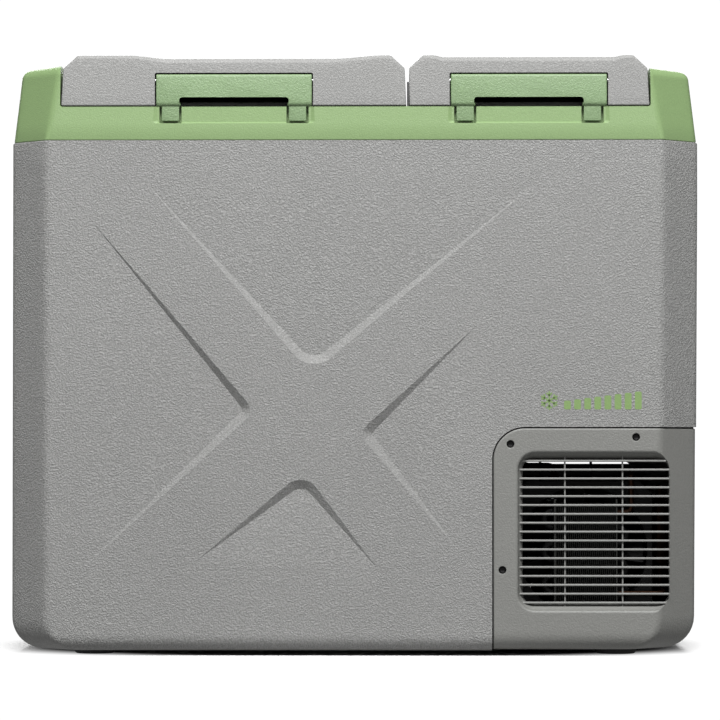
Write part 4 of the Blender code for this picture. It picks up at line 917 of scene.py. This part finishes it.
def make_lids():
    """Each lid: sections carried along X. At the ends they rise over a chamfer, then fall into the dish."""
    for side in ("left", "right"):
        (low, high), (top_low, top_high) = LID_ENDS[side], LID_TOP_X[side]
        slope = (LID_RIM - LID_SHOULDER) / LID_CHAMFER
        rings = []
        for flip, (level, run) in zip((False, True), LID_DISH[side]):
            near = [(d, LID_SHOULDER + d * slope, 3.0, inset) for d, inset in
                    ((0.0, 0.9), (0.15, 0.45), (0.5, 0.12), (1.1, 0.0), (3.0, 0.0), (6.0, 0.0), (9.0, 0.0),
                     (11.2, 0.0))]
            near += [(12.4, LID_RIM - 0.15, 3.0, 0.0), (13.5, LID_RIM, 3.2, 0.0)]
            for t in np.linspace(0, 1, 12):
                fall = smooth(t)
                near.append((13.5 + level + run * t, LID_RIM - LID_DIP[side] * fall, 3.2 + 1.3 * fall, 0.0))
            for d, top, front_round, inset in (near[::-1] if flip else near):
                ring = lid_section(top, front_round, inset)
                end, crown = (high, top_high - d) if flip else (low, top_low + d)
                lean = (top_high - high) if flip else (top_low - low)
                height = (ring[:, 1] - LID_BASE) / (LID_SHOULDER - LID_BASE)
                leaning = end + lean * height + (-d if flip else d)
                x = leaning + (crown - leaning) * min(d / LID_CHAMFER, 1.0)
                rings.append(place("X", ring, x))
        lid = loft(f"lid_skin_{side}", rings, FINISHES["lid_grey"], f"lid_{side}", degrees=32)
        centre = latch_centre(side)
        cavity = [place("X", np.array([(-163.0, 450.0), (148.0, 450.0), (148.0, t), (-163.0, t)]), x)
                  for x, t in ((low + 3, 497.6), (low + 15, 507.5), (high - 15, 507.5), (high - 3, 497.6))]
        notch = rounded(rectangle(centre - 67.65, centre + 67.65, 450.0, 497.6), (1, 1, 1.5, 1.5), 4)
        away = [loft("cavity", cavity), prism("notch", "Y", notch, -220, -166)]
        for x in (low + KNUCKLE_IN, high - KNUCKLE_IN):
            way = circle(HINGE_Y, HINGE_Z, 12.3, 40)
            away.append(prism("way", "X", way, x - KNUCKLE_HALF - 0.5, x + KNUCKLE_HALF + 0.5))
        carve(lid, away, degrees=32)
        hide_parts(f"lid_shell_{side}")
        make_lid_inside(side)


def make_lid_inside(side):
    """The lid's inner panel, a shallow pan with a round plug, and its gasket with two sealing lips."""
    low, high = span(f"lid_liner_{side}")
    room = ROOM_X[side]
    plug_x, half_y = (room[0] + 3.0, room[1] - 3.0), LINER_HALF_Y - 3.0

    def plug(grow, z, radius=11.0):
        rect = rectangle(plug_x[0] - grow, plug_x[1] + grow, -half_y - grow, half_y + grow)
        return place("Z", rounded(rect, max(radius + grow, 1.0), 8), z)

    plate = place("Z", rounded(rectangle(low[0], high[0], low[1], high[1]), 1.0, 8), high[2])
    turn = np.linspace(0, math.pi / 2, 6)
    rings = [plug(-3.0, low[2] + 2.0), plug(-2.0, high[2]), plate, plate - (0, 0, 2.5),
             plug(0.0, high[2] - 2.5)]
    rings += [plug(-4.0 * (1 - math.cos(t)), low[2] + 4.0 * (1 - math.sin(t))) for t in turn]
    panel = loft(f"lid_panel_{side}", rings, FINISHES["liner_white"], f"lid_{side}")
    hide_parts(f"lid_liner_{side}")
    g_low, g_high = span(f"lid_gasket_{side}")
    rings = [plug(g, z, 8.0) for g, z in
             ((5.0, g_low[2] + 0.5), (5.4, g_low[2]), (6.4, g_low[2]), (7.0, g_low[2] + 0.9),
              (9.0, g_low[2] + 0.9), (9.6, g_low[2]), (10.6, g_low[2]), (11.0, g_low[2] + 0.5),
              (10.0, g_high[2]), (6.0, g_high[2]))]
    gasket = loft(f"gasket_{side}", rings, FINISHES["rubber"], f"lid_{side}", closed=True)
    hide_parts(f"lid_gasket_{side}")


# a latch: half its width and its finger opening's, the undersides of its bar and of its legs, the round of
# its rims, and how much further the feet and the top edge roll
LATCH_HALF, LATCH_OPENING, LATCH_BAR, LATCH_FOOT, LATCH_RIM = 66.65, 45.5, 475.4, 468.7, 1.3
FOOT_ROLL, TOP_ROLL = (2.4, 2.6), 1.3
HOOK_HALF, HOOK_TOP = 7.4, 472.0


def make_latches():
    """Each latch: a bridge-shaped plate with round rims, rolled further at the feet of its legs and along its
    top, and two hooks."""
    for side in ("left", "right"):
        low, high = span(f"latch_{side}")
        c = latch_centre(side)
        half, opening, bar, foot, top = LATCH_HALF, LATCH_OPENING, LATCH_BAR, LATCH_FOOT, high[2]
        corners = [(c - half, foot), (c - opening, foot), (c - opening, bar), (c + opening, bar),
                   (c + opening, foot), (c + half, foot), (c + half, top), (c - half, top)]
        outline = rounded(corners, (1.5, 1.0, 1.4, 1.4, 1.0, 1.5, 1.4, 1.4), 5, (6, 6, 30, 6, 6, 8, 40, 8))
        front, back = low[1], high[1]
        low_share = np.clip(1 - (outline[:, 1] - foot) / 6.0, 0.0, 1.0)
        top_share = np.clip(1 - (top - outline[:, 1]) / 4.0, 0.0, 1.0)
        rings = []
        for t in np.linspace(0, math.pi / 2, 6):
            ring = place("Y", grown(outline, -LATCH_RIM * (1 - math.sin(t))), front)
            ring[:, 1] += (LATCH_RIM + FOOT_ROLL[0] * low_share + TOP_ROLL * top_share) * (1 - math.cos(t))
            ring[:, 2] += (FOOT_ROLL[1] * low_share - TOP_ROLL * top_share) * (1 - math.sin(t))
            rings.append(ring)
        rings += [place("Y", outline, front + 4.0), place("Y", grown(outline, -0.4), back - 0.4),
                  place("Y", grown(outline, -0.8), back)]
        plate = loft(f"plate_{side}", rings, None, None)
        parts = [plate]
        for x in (c - HOOK, c + HOOK):
            face = rectangle(x - HOOK_HALF, x + HOOK_HALF, low[2], HOOK_TOP)
            shape = rounded(face, (0.8, 0.8, 0.3, 0.3), 4)
            parts.append(pillow(f"hook_{side}", "Y", shape, front + 2.0, front + 4.6, 0.5, steps=3))
        latch = merged(f"latch_handle_{side}", parts, FINISHES["latch_green"], f"latch_{side}", 32)
        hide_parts(f"latch_{side}")


# ---- ends: handles, panel ----
def make_handles():
    """Each carry handle: a bail with round rims and a fuller grip."""
    for side in ("left", "right"):
        low, high = span(f"handle_{side}")
        y0, y1, z0, z1 = low[1], high[1], low[2], high[2]
        corners = [(y0, z1), (y0, z0), (y1, z0), (y1, z1), (y1 - 11, z1), (y1 - 13, z0 + 13),
                   (y0 + 13, z0 + 13), (y0 + 11, z1)]
        outline = rounded(corners, (4.0, 9.0, 9.0, 4.0, 4.0, 5.0, 5.0, 4.0), 6)
        bail = pillow(f"carry_handle_{side}", "X", outline, low[0], high[0], 2.6, FINISHES["trim_green"],
                      f"handle_{side}")
        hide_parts(f"handle_{side}")


def digit_bars(shape):
    """Seven-segment bars for one digit: each as (centre along, centre up, half length, upright or not)."""
    bars = {"a": (0, 2, 0), "b": (1, 1, 1), "c": (1, -1, 1), "d": (0, -2, 0), "e": (-1, -1, 1),
            "f": (-1, 1, 1), "g": (0, 0, 0)}
    return [bars[s] for s in shape]


def make_panel():
    """The control panel: bezel with a round rim, window, lit digits and four dished buttons."""
    low, high = span("panel_bezel")
    face = high[0]
    outline = rounded(rectangle(low[1], high[1], low[2], high[2]), 1.0, 4)
    bezel = pillow("bezel_skin", "X", outline, low[0], face, 0.2, FINISHES["black_plastic"], "cooler",
                   far_rim=0.7)
    w_low, w_high = span("display_window")
    window = rounded(rectangle(w_low[1] - 0.25, w_high[1] + 0.25, w_low[2] - 0.25, w_high[2] + 0.25), 1.0, 4)
    inner = rounded(rectangle(low[1] + 2, high[1] - 2, low[2] + 2, high[2] - 2), 0.5, 3)
    away = [prism("hole", "X", window, face - 20, face + 5),
            prism("inside", "X", inner, face - 20, face - 2.5)]
    for name in ("power", "set", "down", "up"):
        b_low, b_high = span(f"button_{name}")
        _, y, z = (b_low + b_high) / 2
        ring = circle(y, z, 5.05, 40)
        away.append(prism(f"way_{name}", "X", ring, face - 20, face + 5))
        x = b_high[0]
        profile = ((2.0, b_low[0]), (2.0, face - 4.4), (6.3, face - 4.4), (6.3, face - 2.8), (4.7, face - 2.8),
                   (4.7, x - 0.7), (4.5, x - 0.25), (4.1, x), (3.4, x - 0.1), (2.0, x - 0.3), (0.5, x - 0.35))
        button = turned(f"button_cap_{name}", "X", (y, z), profile, None, None, 40)
        x -= 0.55
        marks = {"power": ((0.3, 1.5, 0, 1.1),), "set": ((1.6, 0.28, 0, 0.9), (1.6, 0.28, 0, -0.9)),
                 "down": ((1.7, 0.3, 0, 0),), "up": ((1.7, 0.3, 0, 0), (0.3, 1.7, 0, 0))}[name]
        signs = []
        for k, (a, b, dy, dz) in enumerate(marks):
            bar = rounded(rectangle(y + dy - a, y + dy + a, z + dz - b, z + dz + b), 0.2, 2)
            signs.append(prism(f"sign_{name}_{k}", "X", bar, x, x + 0.4))
        merged_button = merged(f"button_{name}_cap", [button], FINISHES["grey_rubber"], f"button_{name}")
        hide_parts(f"button_{name}")
        sign = merged(f"button_{name}_sign", signs, FINISHES["black_plastic"], f"button_{name}")
    carve(bezel, away)
    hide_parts("panel_bezel")
    lit = []
    for cy, shape in ((-9.0, "g"), (-1.0, "bc"), (7.0, "abcdefg")):
        for k, (dy, dz, upright) in enumerate(digit_bars(shape)):
            a, b = (0.45, 2.1) if upright else (1.7, 0.45)
            y, z = cy + dy * 2.2, (w_low[2] + w_high[2]) / 2 + dz * 2.6
            bar = rounded(rectangle(y - a, y + a, z - b, z + b), 0.4, 2)
            lit.append(prism(f"bar_{cy}_{k}", "X", bar, w_high[0] - 0.05, w_high[0] + 0.08))
    digits = merged("display_digits", lit, DISPLAY_LIGHT, "cooler")


def lit_finish():
    """A lit display colour: emission that a fine noise makes slightly uneven."""
    mat, tree, shader = material_tree("display_light")
    shader.inputs["Emission Strength"].default_value = 1.2
    where = node(tree, "TexCoord")
    noise = node(tree, "TexNoise", {"Scale": 900.0})
    ramp = node(tree, "ValToRGB")
    ramp.color_ramp.elements[0].color = (0.10, 0.55, 0.60, 1)
    ramp.color_ramp.elements[1].color = (0.25, 0.85, 0.90, 1)
    wire(tree, (where, "Object", noise, "Vector"), (noise, "Fac", ramp, "Fac"),
         (ramp, "Color", shader, "Emission Color"), (ramp, "Color", shader, "Base Color"))
    return mat


DISPLAY_LIGHT = lit_finish()


def make_feet():
    """Rubber feet: turned pads with two grip grooves."""
    for i in range(1, 5):
        x, y, _ = centre_of(f"foot_{i}")
        profile = [(6.0, 0.8), (8.0, 0.8), (8.4, 0.0), (11.0, 0.0), (11.4, 0.8), (12.6, 0.8), (13.0, 0.0),
                   (15.6, 0.0), (16.8, 0.6), (17.4, 1.8), (18.0, span(f"foot_{i}")[1][2])]
        foot = turned(f"foot_pad_{i}", "Z", (x, y), profile, FINISHES["rubber"], "cooler")
        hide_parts(f"foot_{i}")


def make_emblem():
    """A plain generic mark where such coolers carry one: a six-armed snowflake and eight rising bars."""
    parts = []
    cx, cz = 166.0, 217.5
    levels = (FRONT - 0.12, FRONT + 0.4)
    for arm in range(6):
        turn = math.pi / 3 * arm + math.pi / 6
        way, side = np.array([math.cos(turn), math.sin(turn)]), np.array([-math.sin(turn), math.cos(turn)])
        for a, b, reach in ((0.0, 8.0, 0.0), (4.2, 6.6, 2.4), (4.2, 6.6, -2.4)):
            start, end = way * a, way * b + side * reach
            along = (end - start) / np.linalg.norm(end - start)
            across = np.array([-along[1], along[0]]) * 0.65
            shape = np.array([start - across, end - across, end + across, start + across]) + (cx, cz)
            parts.append(prism(f"arm_{arm}_{a}_{reach}", "Y", shape, *levels))
    for i in range(8):
        x, height = 181.5 + 8.6 * i, 7.5 + 1.1 * i
        bar = rounded(rectangle(x - 2.9, x + 2.9, 210.0, 210.0 + height), 1.4, 4)
        parts.append(prism(f"bar_{i}", "Y", bar, *levels))
    merged("front_mark", parts, FINISHES["mark_green"], "cooler")


# ---- inside the bay ----
def make_condenser():
    """The condenser: thin upright fins between two end plates, with round return bends past its end plates."""
    low, high = span("condenser")
    fins = []
    for x in np.arange(low[0] + 2.2, high[0] - 2.0, 1.7):
        fins.append(block("fin", (x - 0.18, x + 0.18), (low[1] + 3, high[1] - 3),
                          (low[2] + 3, high[2] - 3)))
    for x in (low[0], high[0] - 1.2):
        fins.append(block("plate", (x, x + 1.2), (low[1], high[1]), (low[2], high[2])))
    core = merged("condenser_fins", fins, FINISHES["dark_metal"], "cooler")
    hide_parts("condenser")
    bends = []
    rows = np.arange(low[2] + 12, high[2] - 8, 14.0)
    for y in (low[1] + 12, high[1] - 12):
        for i, z in enumerate(rows[:-1]):
            turn = np.linspace(-math.pi / 2, math.pi / 2, 9)
            side = 1 if i % 2 else -1
            x0 = high[0] if side > 0 else low[0]
            x = x0 + side * (1.0 + 7.0 * np.cos(turn))
            path = np.stack((x, np.full(9, y), z + 7.0 + 7.0 * np.sin(turn)), -1)
            bends.append(pipe("bend", path, 2.4, None, None, 10))
    # the return bends are black rather than copper: painted shade for the shaded bay
    merged("condenser_bends", bends, FINISHES["painted_steel"], "cooler")


def dress_cad_nodes():
    """Give every CAD node that still shows its finish."""
    slots = {row["node"]: row["material_slot"] for row in frame["record"]["subparts"]}
    for name, node in frame["nodes"].items():
        node.data.materials.clear()
        node.data.materials.append(FINISHES[slots[name]])


# ---- stage ----
# how bright the floor and the surround look, and how much less light they throw on the cooler
WHITE_SEEN = 1.05
FLOOR_GLOW, SKY_GLOW = 0.42, 0.13
FLOOR_SEEN, FLOOR_BOUNCE = 0.95, 0.42
# the floor takes shadows out to the first share of the cooler's half width and depth, and is plain white
# light beyond the second
FLOOR_NEAR, FLOOR_FAR = 0.95, 1.3


def floor_finish():
    """A pale matt floor that takes shadows under and near the cooler and turns to plain white light further
    out. For rays that don't come from the camera it is dimmer."""
    mat, tree, shader = material_tree("floor_white")
    shader.inputs["Roughness"].default_value = 1.0
    shader.inputs["Specular IOR Level"].default_value = 0.0
    ray = node(tree, "LightPath")
    tone = node(tree, "Mix", {"A": (*[FLOOR_BOUNCE] * 3, 1), "B": (*[FLOOR_SEEN] * 3, 1)}, data_type="RGBA")
    white = node(tree, "Emission", {"Color": (1, 1, 1, 1)})
    strength = node(tree, "MapRange", {"To Min": FLOOR_GLOW, "To Max": WHITE_SEEN})
    where = node(tree, "TexCoord")
    fitted = node(tree, "Mapping", {"Scale": (1 / (HALF_X * MM), 1 / (HALF_Y * MM), 0)})
    reach = node(tree, "VectorMath", operation="LENGTH")
    near = node(tree, "MapRange", {"From Min": FLOOR_NEAR, "From Max": FLOOR_FAR},
                interpolation_type="SMOOTHSTEP")
    mix = node(tree, "MixShader")
    wire(tree, (ray, "Is Camera Ray", tone, "Factor"), (tone, "Result", shader, "Base Color"),
         (ray, "Is Camera Ray", strength, "Value"), (strength, "Result", white, "Strength"),
         (where, "Object", fitted, "Vector"), (fitted, "Vector", reach, 0), (reach, "Value", near, "Value"),
         (near, "Result", mix, "Fac"), (shader, "BSDF", mix, 1), (white, "Emission", mix, 2),
         (mix, "Shader", tree.nodes["Material Output"], "Surface"))
    return mat


# each softbox: where it stands, where it points, its width and height, and its power
SOFTBOXES = {
    "key": ((0.12, -2.0, 2.6), (0.0, -0.1, 0.25), (1.5, 1.1), 194.0),
    "front": ((0.2, -3.6, 0.75), (0.0, 0.0, 0.25), (2.0, 1.4), 8.0),
    "top": ((0.1, 0.5, 2.4), (0.0, 0.0, 0.3), (2.4, 1.6), 9.0),
    "back": ((-0.3, 2.9, 1.5), (0.0, 0.1, 0.25), (2.4, 1.4), 75.0),
}


def make_stage():
    """A pale floor, softboxes in front, above and behind, and a white surround."""
    scene = bpy.context.scene
    far = 60000.0
    mesh = bpy.data.meshes.new("floor")
    corners = np.array([(-far, -far, 0), (far, -far, 0), (far, far, 0), (-far, far, 0)]) * MM
    mesh.from_pydata(corners.tolist(), [], [(0, 1, 2, 3)])
    mesh.materials.append(floor_finish())
    floor = bpy.data.objects.new("floor", mesh)
    scene.collection.objects.link(floor)

    world = bpy.data.worlds.new("studio")
    scene.world = world
    world.use_nodes = True
    tree = world.node_tree
    seen = tree.nodes["Background"]
    seen.inputs["Color"].default_value = (1, 1, 1, 1)
    seen.inputs["Strength"].default_value = WHITE_SEEN
    lit = node(tree, "Background", {"Color": (1, 1, 1, 1), "Strength": SKY_GLOW})
    mix = node(tree, "MixShader")
    ray = node(tree, "LightPath")
    wire(tree, (ray, "Is Camera Ray", mix, "Fac"), (lit, "Background", mix, 1), (seen, "Background", mix, 2),
         (mix, "Shader", tree.nodes["World Output"], "Surface"))

    for name, (spot, aim, size, power) in SOFTBOXES.items():
        light = bpy.data.lights.new(name, "AREA")
        light.shape = "RECTANGLE"
        light.size, light.size_y = size
        light.energy = power
        lamp = bpy.data.objects.new(name, light)
        scene.collection.objects.link(lamp)
        lamp.location = spot
        way = np.array(aim) - np.array(spot)
        flat = math.hypot(way[0], way[1])
        lamp.rotation_euler = (math.pi / 2 + math.atan2(way[2], flat), 0, math.atan2(-way[0], way[1]))


# how far the camera stands from the cooler's front, and the width that it sees there
CAMERA_DISTANCE, CAMERA_ACROSS = 3200.0, 613.2


def make_camera():
    """A long lens straight in front, a little below the lids, tilted slightly up."""
    scene = bpy.context.scene
    data = bpy.data.cameras.new("camera")
    data.sensor_width = 36.0
    data.lens = data.sensor_width * CAMERA_DISTANCE / CAMERA_ACROSS
    data.clip_end = 100.0
    camera = bpy.data.objects.new("camera", data)
    scene.collection.objects.link(camera)
    eye = np.array([45.0, FRONT - CAMERA_DISTANCE, 180.0])
    target = np.array([4.9, FRONT, 252.1])
    way = target - eye
    camera.location = eye * MM
    camera.rotation_euler = (math.pi / 2 + math.atan2(way[2], math.hypot(way[0], way[1])), 0,
                             math.atan2(-way[0], way[1]))
    scene.camera = camera
    scene.view_settings.view_transform = "Standard"


dress_cad_nodes()
make_shell()
make_cups()
make_cover()
make_seam_shade()
make_grille()
make_rear_grille()
make_screws()
make_collar()
make_liners()
make_lids()
make_latches()
make_handles()
make_panel()
make_feet()
make_emblem()
make_condenser()
make_stage()
make_camera()
